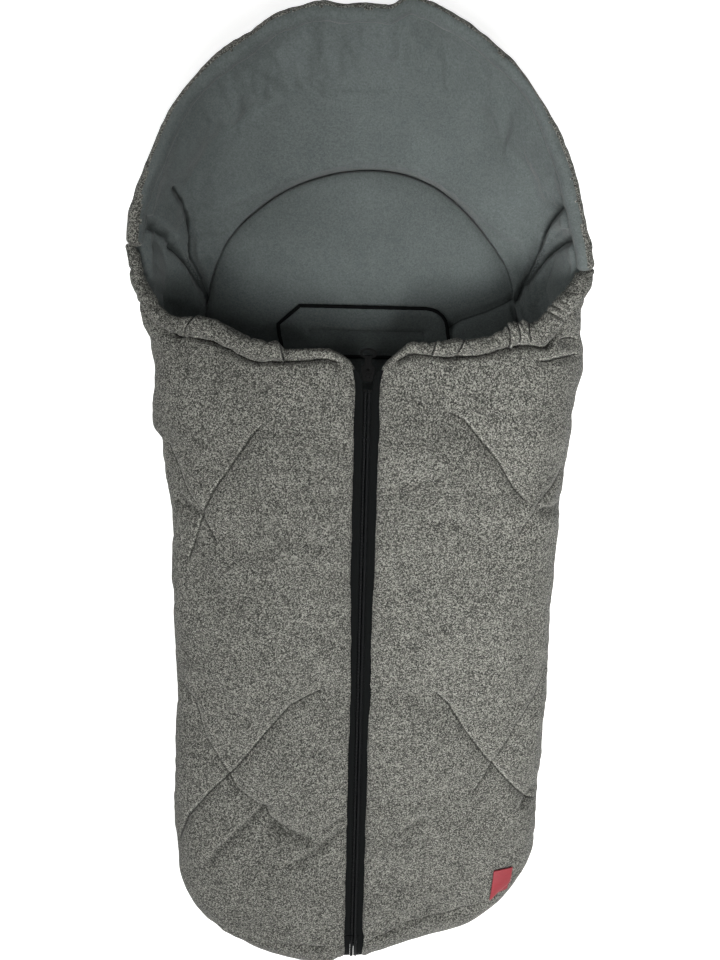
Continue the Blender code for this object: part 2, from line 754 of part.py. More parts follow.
def resample(path, spacing):
    """Points at an even spacing along a path, with its two ends kept."""
    lengths = [0.0]
    for a, b in zip(path, path[1:]):
        lengths.append(lengths[-1] + (b - a).length)
    count = max(2, round(lengths[-1] / spacing))
    result = []
    index = 0
    for target in steps(0.0, lengths[-1], count):
        while index < len(path) - 2 and lengths[index + 1] < target:
            index += 1
        span = lengths[index + 1] - lengths[index]
        result.append(path[index].lerp(path[index + 1], (target - lengths[index]) / span))
    return result


def roll(name, path, finish, radius, ruffle=0.0, bore=0.0, ends=(None, None)):
    """A rolled hem along a path, with gathers, and with a channel for an elastic."""
    rings = []
    travelled = 0.0
    tilt = Vector((0.0, 0.0, 1.0))
    for index, centre in enumerate(path):
        before = path[max(index - 1, 0)]
        after = path[min(index + 1, len(path) - 1)]
        run = (after - before).normalized()
        travelled += (centre - before).length
        side = run.cross(tilt).normalized()
        up = side.cross(run).normalized()
        wave = 1.0 - ruffle / radius * (1.0 + math.cos(2.0 * math.pi * travelled / ROLL_RUFFLE_PITCH))
        plane = ends[0] if index == 0 else ends[1] if index == len(path) - 1 else None
        ring = []
        for step in range(ROLL_SIDES):
            turn = 2.0 * math.pi * (step + 0.5) / ROLL_SIDES
            spoke = side * math.cos(turn) + up * math.sin(turn)
            ring.append(on_plane(centre + spoke * radius * wave, run, plane))
        if bore:
            for step in range(ROLL_SIDES):
                turn = 2.0 * math.pi * (step + 0.5) / ROLL_SIDES
                spoke = side * math.cos(turn) + up * math.sin(turn)
                ring.append(on_plane(centre + spoke * bore, run, plane))
        rings.append(ring)
    return ringed_solid(name, rings, finish, bool(bore))


def on_plane(point, run, plane):
    """Slide a ring's point along the roll on to the plane that ends it."""
    if plane is None:
        return point
    origin, normal = plane
    return point + run * ((origin - point).dot(normal) / run.dot(normal))


def ringed_solid(name, rings, finish, hollow):
    bm = bmesh.new()
    sides = len(rings[0]) // 2 if hollow else len(rings[0])
    made = [[bm.verts.new(p) for p in ring] for ring in rings]
    for first, second in zip(made, made[1:]):
        for step in range(sides):
            following = (step + 1) % sides
            bm.faces.new((first[step], first[following], second[following], second[step]))
            if hollow:
                bm.faces.new((first[sides + following], first[sides + step],
                              second[sides + step], second[sides + following]))
    for ring, order in ((made[0], -1), (made[-1], 1)):
        if hollow:
            for step in range(sides):
                following = (step + 1) % sides
                face = (ring[step], ring[following], ring[sides + following], ring[sides + step])
                bm.faces.new(face[::order])
        else:
            bm.faces.new(ring[::order])
    return finish_object(name, bm, finish)


def fold_plane(side, sign):
    """Upright plane along the fold, a half gap to one side of it."""
    direction = fold_direction()
    normal = Vector((direction.y * side, -direction.x, 0.0))
    origin = Vector((FOLD_FOOT_X * side, FOLD_FOOT_Y, 0.0)) + normal * (sign * FIT_GAP / 2.0)
    return origin, normal


def make_rolls():
    edge = resample(mouth_edge(), 0.002)
    split = min(range(len(edge)), key=lambda i: abs(edge[i].x - fold_x(edge[i].y)))
    rim = resample(rim_edge(), RIM_RING_SPACING)
    rim_start = rim[0]
    rim_run = (rim[1] - rim[0]).normalized()
    for side_name, side in MIRRORED.items():
        leaf_path = flip(resample(edge[:split], COLLAR_RING_SPACING), side)
        side_path = flip(resample(edge[split + 1:] + [rim_start], COLLAR_RING_SPACING), side)
        roll(f"{side_name}_leaf_collar", leaf_path, "melange", ROLL_RADIUS, ROLL_RUFFLE,
             ends=(None, fold_plane(side, -1.0)))
        roll(f"{side_name}_side_collar", side_path, "melange", ROLL_RADIUS, ROLL_RUFFLE,
             ends=(fold_plane(side, 1.0), flip([rim_start - rim_run * FIT_GAP, rim_run], side)))
    roll("hood_rim", rim, "melange", ROLL_RADIUS, ROLL_RUFFLE, bore=ELASTIC_CHANNEL_RADIUS)
    roll("hood_elastic", rim, "elastic", ELASTIC_RADIUS)


# Zip

def straight_row(side_name):
    """Row of teeth on the folding leaf, in mesh with the other row."""
    side = MIRRORED[side_name]
    top_end = SLIDER_Y - SLIDER_LENGTH / 2.0 - ROW_PARK_GAP - STOP_LENGTH - FIT_GAP
    low_end = FOLD_FOOT_Y + FIT_GAP
    bar_inner = ROW_HALF_WIDTH - ROW_BAR
    phase = 0.25 if side > 0 else 0.75
    outline = [(side * ROW_HALF_WIDTH, low_end), (side * bar_inner, low_end)]
    y = low_end + TOOTH_PITCH * phase
    while y + TOOTH_ROOT / 2.0 < top_end - FIT_GAP:
        if y - TOOTH_ROOT / 2.0 > low_end + FIT_GAP:
            outline.append((side * bar_inner, y - TOOTH_ROOT / 2.0))
            outline.append((-side * TOOTH_REACH, y - TOOTH_TIP / 2.0))
            outline.append((-side * TOOTH_REACH, y + TOOTH_TIP / 2.0))
            outline.append((side * bar_inner, y + TOOTH_ROOT / 2.0))
        y += TOOTH_PITCH
    outline += [(side * bar_inner, top_end), (side * ROW_HALF_WIDTH, top_end)]
    extruded(f"{side_name}_zip_row", outline, ZIP_Z - ROW_THICKNESS / 2.0,
             ZIP_Z + ROW_THICKNESS / 2.0, "coil")
    stop_low = top_end + FIT_GAP
    stop = [(side * bar_inner * 0.4, stop_low), (side * ROW_HALF_WIDTH, stop_low),
            (side * ROW_HALF_WIDTH, stop_low + STOP_LENGTH),
            (side * bar_inner * 0.4, stop_low + STOP_LENGTH)]
    extruded(f"{side_name}_top_stop", stop, ZIP_Z - ROW_THICKNESS / 2.0,
             ZIP_Z + ROW_THICKNESS / 2.0, "black_metal")


def straight_tape(side_name):
    """Zip tape sewn under the leaf's edge, with its edge following the parked slider."""
    side = MIRRORED[side_name]
    inner = ROW_HALF_WIDTH + FIT_GAP
    beside = SLIDER_FRONT_HALF + SLIDER_CLEARANCE
    behind = SLIDER_REAR_HALF + SLIDER_CLEARANCE
    flare = SLIDER_Y - SLIDER_LENGTH / 2.0 + TAPE_FLARE_START
    outer = inner + TAPE_WIDTH
    low_end = FOLD_FOOT_Y + FIT_GAP
    notch = SLIDER_Y - SLIDER_LENGTH / 2.0 - ROW_PARK_GAP
    top_end = MOUTH_Y - FIT_GAP
    limit = (LEAF_EDGE_X + FOLD_FOOT_X) / 2.0 - FIT_GAP
    slope = fold_direction().x / fold_direction().y
    y_full = FOLD_FOOT_Y + (LEAF_EDGE_X + 2.0 * WADDING_SETBACK - FOLD_FOOT_X) / slope
    y_full += (MOUTH_Y - FOLD_FOOT_Y) / LEAF_STEPS_LONG
    outline = [(inner, low_end), (limit, low_end), (outer, y_full), (outer, top_end),
               (beside + 0.004, top_end), (beside, top_end - 0.004), (beside, flare + 0.004),
               (behind, flare), (behind, notch), (inner, notch)]
    outline = [(x * side, y) for x, y in outline]
    extruded(f"{side_name}_zip_tape", outline, ZIP_Z - TAPE_THICKNESS / 2.0,
             ZIP_Z + TAPE_THICKNESS / 2.0, "tape")


def foot_knot(index, x, depth):
    """A place under the foot's cloth: on the flat (0), then down the rows of the rounding."""
    if index == 0:
        return Vector((x, FOLD_FOOT_Y - FIT_GAP, TOP_HEIGHT - depth))
    v = 1.0 - (index - 1) / (ROUND_STEPS + 1)
    pair = []
    for u in (0.0, 1.0 / FOOT_STEPS):
        normal = normal_of(front_wall, max(u, 1e-3), min(max(v, 1e-3), 1.0 - 1e-3))
        if u == 0.0:
            normal.x = 0.0
        if v == 0.0:
            normal.z = 0.0
        if v == 1.0:
            normal = Vector((0.0, 0.0, 1.0))
        lifted = Vector((0.0, 0.0, FIT_GAP)) * (v == 0.0)
        pair.append(front_wall(u, v) + lifted - normal.normalized() * depth)
    run = pair[1] - pair[0]
    return pair[0] + run * ((x - pair[0].x) / run.x)


def foot_lengths():
    """Distances along the zip line at each knot, on the tape's level."""
    depth = TOP_HEIGHT - ZIP_Z
    knots = [foot_knot(index, 0.0, depth) for index in range(ROUND_STEPS + 3)]
    lengths = [0.0]
    for a, b in zip(knots, knots[1:]):
        lengths.append(lengths[-1] + (b - a).length)
    return lengths


def foot_place(distance, x, depth):
    """A point at a distance along the zip line, across it and under the cloth."""
    lengths = foot_lengths()
    index = 0
    while index < len(lengths) - 2 and lengths[index + 1] < distance - 1e-9:
        index += 1
    share = (distance - lengths[index]) / (lengths[index + 1] - lengths[index])
    return foot_knot(index, x, depth).lerp(foot_knot(index + 1, x, depth), share)


def ribbon(name, places, side, thickness, finish):
    """A strip along the zip line; places are (distance, inner x, outer x)."""
    middle = TOP_HEIGHT - ZIP_Z
    levels = (middle - thickness / 2.0, middle + thickness / 2.0)
    bm = bmesh.new()
    rings = []
    for distance, inner, outer in places:
        ring = [foot_place(distance, inner, levels[0]), foot_place(distance, outer, levels[0]),
                foot_place(distance, outer, levels[1]), foot_place(distance, inner, levels[1])]
        rings.append([bm.verts.new(p) for p in flip(ring, side)])
    for first, second in zip(rings, rings[1:]):
        for step in range(4):
            following = (step + 1) % 4
            bm.faces.new((first[step], first[following], second[following]))
            bm.faces.new((first[step], second[following], second[step]))
    bm.faces.new(rings[0][::-1])
    bm.faces.new(rings[-1])
    return finish_object(name, bm, finish)


def make_foot_zip():
    """The short stretch of zip below the fold, which stays closed over the foot."""
    lengths = foot_lengths()
    total = lengths[-1]
    row_end = total - BOTTOM_STOP_LENGTH - FIT_GAP
    bar_inner = ROW_HALF_WIDTH - ROW_BAR
    inner = ROW_HALF_WIDTH + FIT_GAP
    for side_name, side in MIRRORED.items():
        tape = [(0.0, inner, FOLD_FOOT_X - FIT_GAP)]
        tape += [(distance, inner, inner + TAPE_WIDTH) for distance in lengths[1:]]
        ribbon(f"{side_name}_foot_tape", tape, side, TAPE_THICKNESS, "tape")
        places = [(0.0, bar_inner)]
        centre = TOOTH_PITCH * (0.25 if side > 0 else 0.75)
        while centre + TOOTH_ROOT / 2.0 < row_end - FIT_GAP:
            places += [(centre - TOOTH_ROOT / 2.0, bar_inner), (centre - TOOTH_TIP / 2.0, -TOOTH_REACH),
                       (centre + TOOTH_TIP / 2.0, -TOOTH_REACH), (centre + TOOTH_ROOT / 2.0, bar_inner)]
            centre += TOOTH_PITCH
        places += [(row_end, bar_inner)] + [(knot, None) for knot in lengths[1:-1]]
        places = fill_knots(sorted(places, key=lambda place: place[0]))
        ribbon(f"{side_name}_foot_row", [(d, x, ROW_HALF_WIDTH) for d, x in places], side,
               ROW_THICKNESS, "coil")
    ribbon("bottom_stop", [(row_end + FIT_GAP, -ROW_HALF_WIDTH, ROW_HALF_WIDTH),
                           (total, -ROW_HALF_WIDTH, ROW_HALF_WIDTH)], 1.0, ROW_THICKNESS, "black_metal")


def fill_knots(places):
    """Give the bends of the zip line the width that the teeth have there."""
    filled = []
    for index, (distance, x) in enumerate(places):
        if x is None:
            before = next(p for p in reversed(places[:index]) if p[1] is not None)
            after = next(p for p in places[index:] if p[1] is not None)
            share = (distance - before[0]) / (after[0] - before[0])
            x = before[1] + (after[1] - before[1]) * share
        filled.append((distance, x))
    return filled


def join_parts(obj, others):
    """Fuse pieces that overlap into one solid."""
    for other in others:
        other.hide_render = True
        other.display_type = "WIRE"
        union = obj.modifiers.new("fuse " + other.name, "BOOLEAN")
        union.operation = "UNION"
        union.object = other


def shield():
    """Plan of the slider: wide at the mouth side where the rows part, narrow behind."""
    front = SLIDER_Y + SLIDER_LENGTH / 2.0
    rear = SLIDER_Y - SLIDER_LENGTH / 2.0
    wide = SLIDER_FRONT_HALF
    narrow = SLIDER_REAR_HALF
    right = [(narrow - 0.0012, rear), (narrow, rear + 0.0015), (narrow, SLIDER_Y - 0.001),
             (wide, SLIDER_Y + 0.003), (wide, front - 0.003), (wide - 0.0022, front - 0.0006),
             (0.0022, front)]
    return right + [(-x, y) for x, y in reversed(right)]


def make_slider():
    """Zip slider: two plates, side flanges, the post that parts the rows, and a bridge."""
    channel = ROW_THICKNESS / 2.0 + SLIDER_CLEARANCE
    top = ZIP_Z + channel + SLIDER_PLATE
    body = extruded("slider_body", shield(), ZIP_Z + channel, top, "black_metal")
    lower = extruded("slider_lower", shield(), ZIP_Z - channel - SLIDER_PLATE, ZIP_Z - channel,
                     "black_metal")
    front = SLIDER_Y + SLIDER_LENGTH / 2.0
    rear = SLIDER_Y - SLIDER_LENGTH / 2.0
    overlap = SLIDER_PLATE * 0.4
    slit = TAPE_THICKNESS / 2.0 + SLIDER_CLEARANCE
    post_plan = [(0.0, front - POST_LENGTH), (POST_HALF_WIDTH, front - POST_LENGTH * 0.45),
                 (POST_HALF_WIDTH * 0.7, front - 0.0004), (-POST_HALF_WIDTH * 0.7, front - 0.0004),
                 (-POST_HALF_WIDTH, front - POST_LENGTH * 0.45)]
    post = extruded("slider_post", post_plan, ZIP_Z - channel - overlap, ZIP_Z + channel + overlap,
                    "black_metal")
    parts = [lower, post]
    inner_wide = SLIDER_FRONT_HALF - SLIDER_FLANGE
    inner_narrow = SLIDER_REAR_HALF - SLIDER_FLANGE
    for side_name, side in MIRRORED.items():
        flange = [(inner_narrow, rear + 0.0014), (SLIDER_REAR_HALF - 0.0001, rear + 0.0016),
                  (SLIDER_REAR_HALF - 0.0001, SLIDER_Y - 0.001),
                  (SLIDER_FRONT_HALF - 0.0001, SLIDER_Y + 0.003),
                  (SLIDER_FRONT_HALF - 0.0001, front - 0.0032), (inner_wide, front - 0.0032),
                  (inner_wide, SLIDER_Y + 0.0035), (inner_narrow, SLIDER_Y - 0.0005)]
        flange = [(x * side, y) for x, y in flange]
        parts.append(extruded(f"slider_flange_top_{side_name}", flange, ZIP_Z + slit,
                              ZIP_Z + channel + overlap, "black_metal"))
        parts.append(extruded(f"slider_flange_low_{side_name}", flange, ZIP_Z - channel - overlap,
                              ZIP_Z - slit, "black_metal"))
    parts.append(make_bridge(top))
    join_parts(body, parts)


def tab_axis():
    """Middle of the tab's eye bar, inside the slider's bridge."""
    channel = ROW_THICKNESS / 2.0 + SLIDER_CLEARANCE
    top = ZIP_Z + channel + SLIDER_PLATE
    return Vector((0.0, SLIDER_Y, top + FIT_GAP + TAB_THICKNESS / 2.0))


def make_bridge(top):
    """Arch over the slider's top plate that holds the pull tab."""
    opening = TAB_THICKNESS + 3.0 * FIT_GAP
    half = BRIDGE_SPAN / 2.0
    sink = SLIDER_PLATE * 0.4
    profile = [(-half - BRIDGE_BAR, top - sink), (-half, top - sink), (-half, top + opening),
               (half, top + opening), (half, top - sink), (half + BRIDGE_BAR, top - sink),
               (half + BRIDGE_BAR, top + opening + BRIDGE_BAR * 0.5),
               (half, top + opening + BRIDGE_BAR), (-half, top + opening + BRIDGE_BAR),
               (-half - BRIDGE_BAR, top + opening + BRIDGE_BAR * 0.5)]
    bm = bmesh.new()
    verts = [bm.verts.new((-BRIDGE_WIDTH / 2.0, SLIDER_Y + y, z)) for y, z in profile]
    face = bm.faces.new(verts)
    lifted = bmesh.ops.extrude_face_region(bm, geom=[face])
    moved = [item for item in lifted["geom"] if isinstance(item, bmesh.types.BMVert)]
    bmesh.ops.translate(bm, verts=moved, vec=(BRIDGE_WIDTH, 0.0, 0.0))
    return finish_object("slider_bridge", bm, "black_metal")


def make_tab():
    """Pull tab: an eye bar and window round the bridge, a neck, and an oval ring to pull on."""
    axis = tab_axis()
    bar = TAB_THICKNESS / 2.0
    window_near = bar
    window_far = BRIDGE_SPAN / 2.0 + BRIDGE_BAR + 0.0006
    half_neck = TAB_NECK_WIDTH / 2.0
    half_width_x = RING_WIDTH / 2.0
    half_length = RING_LENGTH / 2.0
    centre = TAB_LENGTH - half_length - bar
    neck_turn = math.asin(half_neck / half_width_x)
    outline = [(half_neck, -bar)]
    ring_end = math.degrees(neck_turn) - 90.0
    for angle in steps(ring_end, 180.0 - ring_end, 24):
        turn = math.radians(angle)
        outline.append((half_width_x * math.cos(turn), centre + half_length * math.sin(turn)))
    outline.append((-half_neck, -bar))
    window = [(-TAB_WINDOW_WIDTH / 2.0, window_near), (TAB_WINDOW_WIDTH / 2.0, window_near),
              (TAB_WINDOW_WIDTH / 2.0, window_far), (-TAB_WINDOW_WIDTH / 2.0, window_far)]
    ring_hole = []
    for angle in range(0, 360, 18):
        turn = math.radians(angle)
        ring_hole.append(((half_width_x - RING_BAR) * math.cos(turn),
                          centre + (half_length - RING_BAR) * math.sin(turn)))
    tab = extruded("pull_tab", outline, -bar, bar, "black_metal", window, ring_hole)
    tab.location = axis


# Joint axes

def hang_on(empty_name, place, node_names):
    """Give moving pieces a parent that stands on their joint's axis."""
    axis = bpy.data.objects.new(empty_name, None)
    axis.location = place
    bpy.context.scene.collection.objects.link(axis)
    for node_name in node_names:
        piece = bpy.data.objects[node_name]
        piece.parent = axis
        piece.matrix_parent_inverse = Matrix.Translation(-Vector(place))


def make_axes():
    """The fold line of each leaf, and the slider's rest place on the zip."""
    leaf_pieces = ("leaf_outer", "leaf_wadding", "leaf_liner", "leaf_collar",
                   "zip_row", "zip_tape", "top_stop")
    for side_name, side in MIRRORED.items():
        foot = (FOLD_FOOT_X * side, FOLD_FOOT_Y, TOP_HEIGHT + FOLD_AXIS_LIFT)
        hang_on(f"{side_name}_fold_axis", foot, [f"{side_name}_{piece}" for piece in leaf_pieces])
    hang_on("zip_axis", (0.0, SLIDER_Y, ZIP_Z), ["slider_body"])
    hang_on("pull_tab_axis", tuple(tab_axis()), ["pull_tab"])


# Label

def label_corner(x, y):
    """A place on the front's rounding that lies over a point of the plan."""
    u = 0.99
    v = 0.7
    for _ in range(40):
        point = front_wall(u, v)
        grad_u = (front_wall(u + 1e-4, v) - point) / 1e-4
        grad_v = (front_wall(u, v + 1e-4) - point) / 1e-4
        miss_x = x - point.x
        miss_y = y - point.y
        det = grad_u.x * grad_v.y - grad_v.x * grad_u.y
        u += (miss_x * grad_v.y - grad_v.x * miss_y) / det * 0.6
        v += (grad_u.x * miss_y - miss_x * grad_u.y) / det * 0.6
        u = min(max(u, 0.55), 0.998)
        v = min(max(v, 0.05), 0.97)
    return front_wall(u, v), normal_of(front_wall, u, v)


def make_label():
    """Woven label sewn flat on the right of the foot."""
    samples = []
    for y in steps(LABEL_Y - LABEL_LENGTH / 2.0, LABEL_Y + LABEL_LENGTH / 2.0, 5):
        for x in steps(LABEL_X - LABEL_WIDTH / 2.0, LABEL_X + LABEL_WIDTH / 2.0, 3):
            samples.append(label_corner(x, y))
    faces = grid_faces(6, 4)
    lift = FIT_GAP * 3.0
    solid_between("label", offset(samples, -lift - LABEL_THICKNESS), offset(samples, -lift),
                  faces, faces, "label")


def main():
    clean_scene()
    make_back()
    make_slot_trim()
    make_hood()
    for side_name in MIRRORED:
        make_side(side_name)
        make_leaf(side_name)
        straight_row(side_name)
        straight_tape(side_name)
    make_rolls()
    make_foot_zip()
    make_slider()
    make_tab()
    make_label()
    make_axes()


main()
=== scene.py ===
"""Padded fleece footmuff lying on its back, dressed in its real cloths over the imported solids.

Metres, +Z up, the mouth towards +Y.
"""
import math

import bmesh
import bpy
from mathutils import Matrix, Vector, noise
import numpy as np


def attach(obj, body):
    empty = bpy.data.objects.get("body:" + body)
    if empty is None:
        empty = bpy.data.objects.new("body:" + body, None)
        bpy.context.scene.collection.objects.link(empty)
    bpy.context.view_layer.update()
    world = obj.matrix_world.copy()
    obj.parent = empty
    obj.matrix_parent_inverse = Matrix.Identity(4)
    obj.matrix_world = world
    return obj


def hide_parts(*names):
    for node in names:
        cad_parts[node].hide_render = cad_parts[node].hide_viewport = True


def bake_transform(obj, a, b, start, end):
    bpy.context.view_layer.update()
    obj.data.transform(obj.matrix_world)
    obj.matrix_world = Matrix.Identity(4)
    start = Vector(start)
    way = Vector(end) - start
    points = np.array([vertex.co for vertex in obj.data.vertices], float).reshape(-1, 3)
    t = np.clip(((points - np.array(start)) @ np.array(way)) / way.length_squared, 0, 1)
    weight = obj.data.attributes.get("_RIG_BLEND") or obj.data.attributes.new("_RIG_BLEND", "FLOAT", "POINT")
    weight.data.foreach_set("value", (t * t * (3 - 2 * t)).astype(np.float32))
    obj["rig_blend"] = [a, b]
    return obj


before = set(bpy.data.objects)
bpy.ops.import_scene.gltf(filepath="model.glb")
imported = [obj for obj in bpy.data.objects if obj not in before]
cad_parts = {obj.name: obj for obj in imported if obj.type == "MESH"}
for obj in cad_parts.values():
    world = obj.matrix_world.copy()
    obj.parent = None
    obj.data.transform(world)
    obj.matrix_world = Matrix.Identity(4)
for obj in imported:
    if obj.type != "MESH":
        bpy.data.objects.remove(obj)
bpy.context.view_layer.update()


# Camera: held above the front, a little nearer the head, so the foot end looks smaller and the inside of the hood is
# seen. Its lens gives a focal length of 900 pixels on a frame 720 pixels wide.
camera_place = Vector((-0.0050, 0.247, 0.946))
camera_aim = Vector((-0.0050, 0.062, 0.060))
camera_roll = math.radians(1.4)
lens = bpy.data.cameras.new("camera")
lens.sensor_fit = "HORIZONTAL"
lens.sensor_width = 36.0
lens.lens = 45.0
camera = bpy.data.objects.new("camera", lens)
camera.location = camera_place
look = (camera_aim - camera_place).normalized()
right = look.cross(Vector((0.0, 1.0, 0.0))).normalized()
turned = Matrix((right, right.cross(look), -look)).transposed() @ Matrix.Rotation(camera_roll, 3, "Z")
camera.rotation_euler = turned.to_euler()
bpy.context.scene.collection.objects.link(camera)
bpy.context.scene.camera = camera
bpy.context.scene.view_settings.view_transform = "Standard"


# Floor and light: a plain white sweep under soft daylight from above and from the right,
# which leaves the left side of the footmuff a little darker.
def linear(hex_colour):
    """sRGB hex to the linear values that a shader takes."""
    parts = [int(hex_colour[i:i + 2], 16) / 255.0 for i in (1, 3, 5)]
    return tuple(p / 12.92 if p <= 0.04045 else ((p + 0.055) / 1.055) ** 2.4 for p in parts) + (1.0,)


def add_node(material, kind, inputs=None, **settings):
    """A node with its settings, whose inputs are values or other nodes' sockets."""
    node = material.node_tree.nodes.new(kind)
    for name, value in settings.items():
        setattr(node, name, value)
    for socket, value in (inputs or {}).items():
        if isinstance(value, bpy.types.NodeSocket):
            material.node_tree.links.new(value, node.inputs[socket])
        else:
            node.inputs[socket].default_value = value
    return node


def new_material(name):
    """An empty material and its output."""
    material = bpy.data.materials.new(name)
    material.use_nodes = True
    material.node_tree.nodes.clear()
    return material, material.node_tree.nodes.new("ShaderNodeOutputMaterial")


def object_from(bm, name, *materials, flat=False):
    """A finished piece at the origin with its materials. Its shading is smooth unless it is flat."""
    for face in bm.faces:
        face.smooth = not flat
    mesh = bpy.data.meshes.new(name)
    bm.to_mesh(mesh)
    bm.free()
    for material in materials:
        mesh.materials.append(material)
    piece = bpy.data.objects.new(name, mesh)
    bpy.context.scene.collection.objects.link(piece)
    return piece


def seen_by_the_eye(material):
    """1 on the camera's rays, also by way of gloss or glass, and 0 on those that only carry light."""
    ray = add_node(material, "ShaderNodeLightPath").outputs
    seen = ray["Is Camera Ray"]
    for other in ("Is Glossy Ray", "Is Transmission Ray"):
        seen = add_node(material, "ShaderNodeMath", {0: seen, 1: ray[other]}, operation="MAXIMUM").outputs[0]
    return seen


# Matt white paper, which looks evenly white and keeps the object's soft shadow
floor_paper, paper_output = new_material("white_paper_sweep")
glow = add_node(floor_paper, "ShaderNodeEmission", {"Color": (1.0, 1.0, 1.0, 1.0), "Strength": 0.72})
no_glow = add_node(floor_paper, "ShaderNodeEmission", {"Color": (0.0, 0.0, 0.0, 1.0), "Strength": 0.0})
lift = add_node(floor_paper, "ShaderNodeMixShader",
                {0: seen_by_the_eye(floor_paper), 1: no_glow.outputs[0], 2: glow.outputs[0]})
paper = add_node(floor_paper, "ShaderNodeBsdfDiffuse", {"Color": linear("#e8e8e6")})
both = add_node(floor_paper, "ShaderNodeAddShader", {0: paper.outputs[0], 1: lift.outputs[0]})
floor_paper.node_tree.links.new(both.outputs[0], paper_output.inputs["Surface"])

sweep = bmesh.new()
bmesh.ops.create_grid(sweep, x_segments=1, y_segments=1, size=4.0)
bmesh.ops.translate(sweep, verts=sweep.verts, vec=(0.0, 0.0, -0.0004))
floor = object_from(sweep, "floor", floor_paper, flat=True)

world = bpy.data.worlds.new("daylight")
bpy.context.scene.world = world
world.use_nodes = True
world.node_tree.nodes.clear()
sky = add_node(world, "ShaderNodeBackground", {"Color": (1.0, 1.0, 1.0, 1.0), "Strength": 0.12})
white = add_node(world, "ShaderNodeBackground", {"Color": (1.0, 1.0, 1.0, 1.0), "Strength": 1.0})
shown = add_node(world, "ShaderNodeMixShader", {0: seen_by_the_eye(world), 1: sky.outputs[0], 2: white.outputs[0]})
world_output = world.node_tree.nodes.new("ShaderNodeOutputWorld")
world.node_tree.links.new(shown.outputs[0], world_output.inputs["Surface"])


def softbox(name, place, aim_at, power, beam):
    """A square lamp with a soft face, whose grid narrows its beam to so many degrees."""
    lamp = bpy.data.lights.new(name, "AREA")
    lamp.shape = "SQUARE"
    lamp.size = 0.8
    lamp.energy = power
    lamp.spread = math.radians(beam)
    holder = bpy.data.objects.new(name, lamp)
    holder.location = place
    holder.rotation_euler = (Vector(aim_at) - Vector(place)).to_track_quat("-Z", "Y").to_euler()
    bpy.context.scene.collection.objects.link(holder)


softbox("overhead_head", (0.26, -0.45, 1.62), (0.30, 0.45, 0.0), 1.75, 38.0)
softbox("from_the_foot", (0.0, -0.98, 1.39), (0.30, -0.10, 0.0), 1.65, 45.0)
softbox("from_the_right", (0.84, -0.49, 1.39), (0.12, -0.30, 0.05), 1.5, 45.0)
softbox("from_the_left", (-1.34, 0.0, 1.05), (0.12, -0.30, 0.05), 8.5, 180.0)


# Back panel: melange outside, 9 mm of polyester wadding and fleece inside, sewn as a shallow
# tray. Its sides rise to the side seam, and its half-round end carries the hood. The melange
# is brushed twill of dark, mid and pale grey fibres, and the fleece is a knit with a short nap.
def shaded_line_mask(material, half_width, beside=0.0):
    """1 on the seams, creases and folds that a cloth notes, or so far beside them, and 0 elsewhere. It places painted
    shade on them and a painted highlight beside them.
    """
    offset = add_node(material, "ShaderNodeAttribute", attribute_name="seam_offset").outputs["Vector"]
    strength = add_node(material, "ShaderNodeAttribute", attribute_name="painted_shade_strength").outputs["Vector"]
    away = add_node(material, "ShaderNodeVectorMath", {0: offset, 1: (beside,) * 3},
                    operation="SUBTRACT").outputs[0]
    away = add_node(material, "ShaderNodeVectorMath", {0: away}, operation="ABSOLUTE").outputs[0]
    line = add_node(material, "ShaderNodeMapRange",
                    {"Vector": away, 7: (half_width * 0.35,) * 3, 8: (half_width,) * 3,
                     9: (1.0,) * 3, 10: (0.0,) * 3}, data_type="FLOAT_VECTOR").outputs["Vector"]
    line = add_node(material, "ShaderNodeVectorMath", {0: line, 1: strength}, operation="MULTIPLY").outputs[0]
    parts = add_node(material, "ShaderNodeSeparateXYZ", {0: line}).outputs
    first = add_node(material, "ShaderNodeMath", {0: parts[0], 1: parts[1]}, operation="MAXIMUM").outputs[0]
    return add_node(material, "ShaderNodeMath", {0: first, 1: parts[2]}, operation="MAXIMUM").outputs[0]


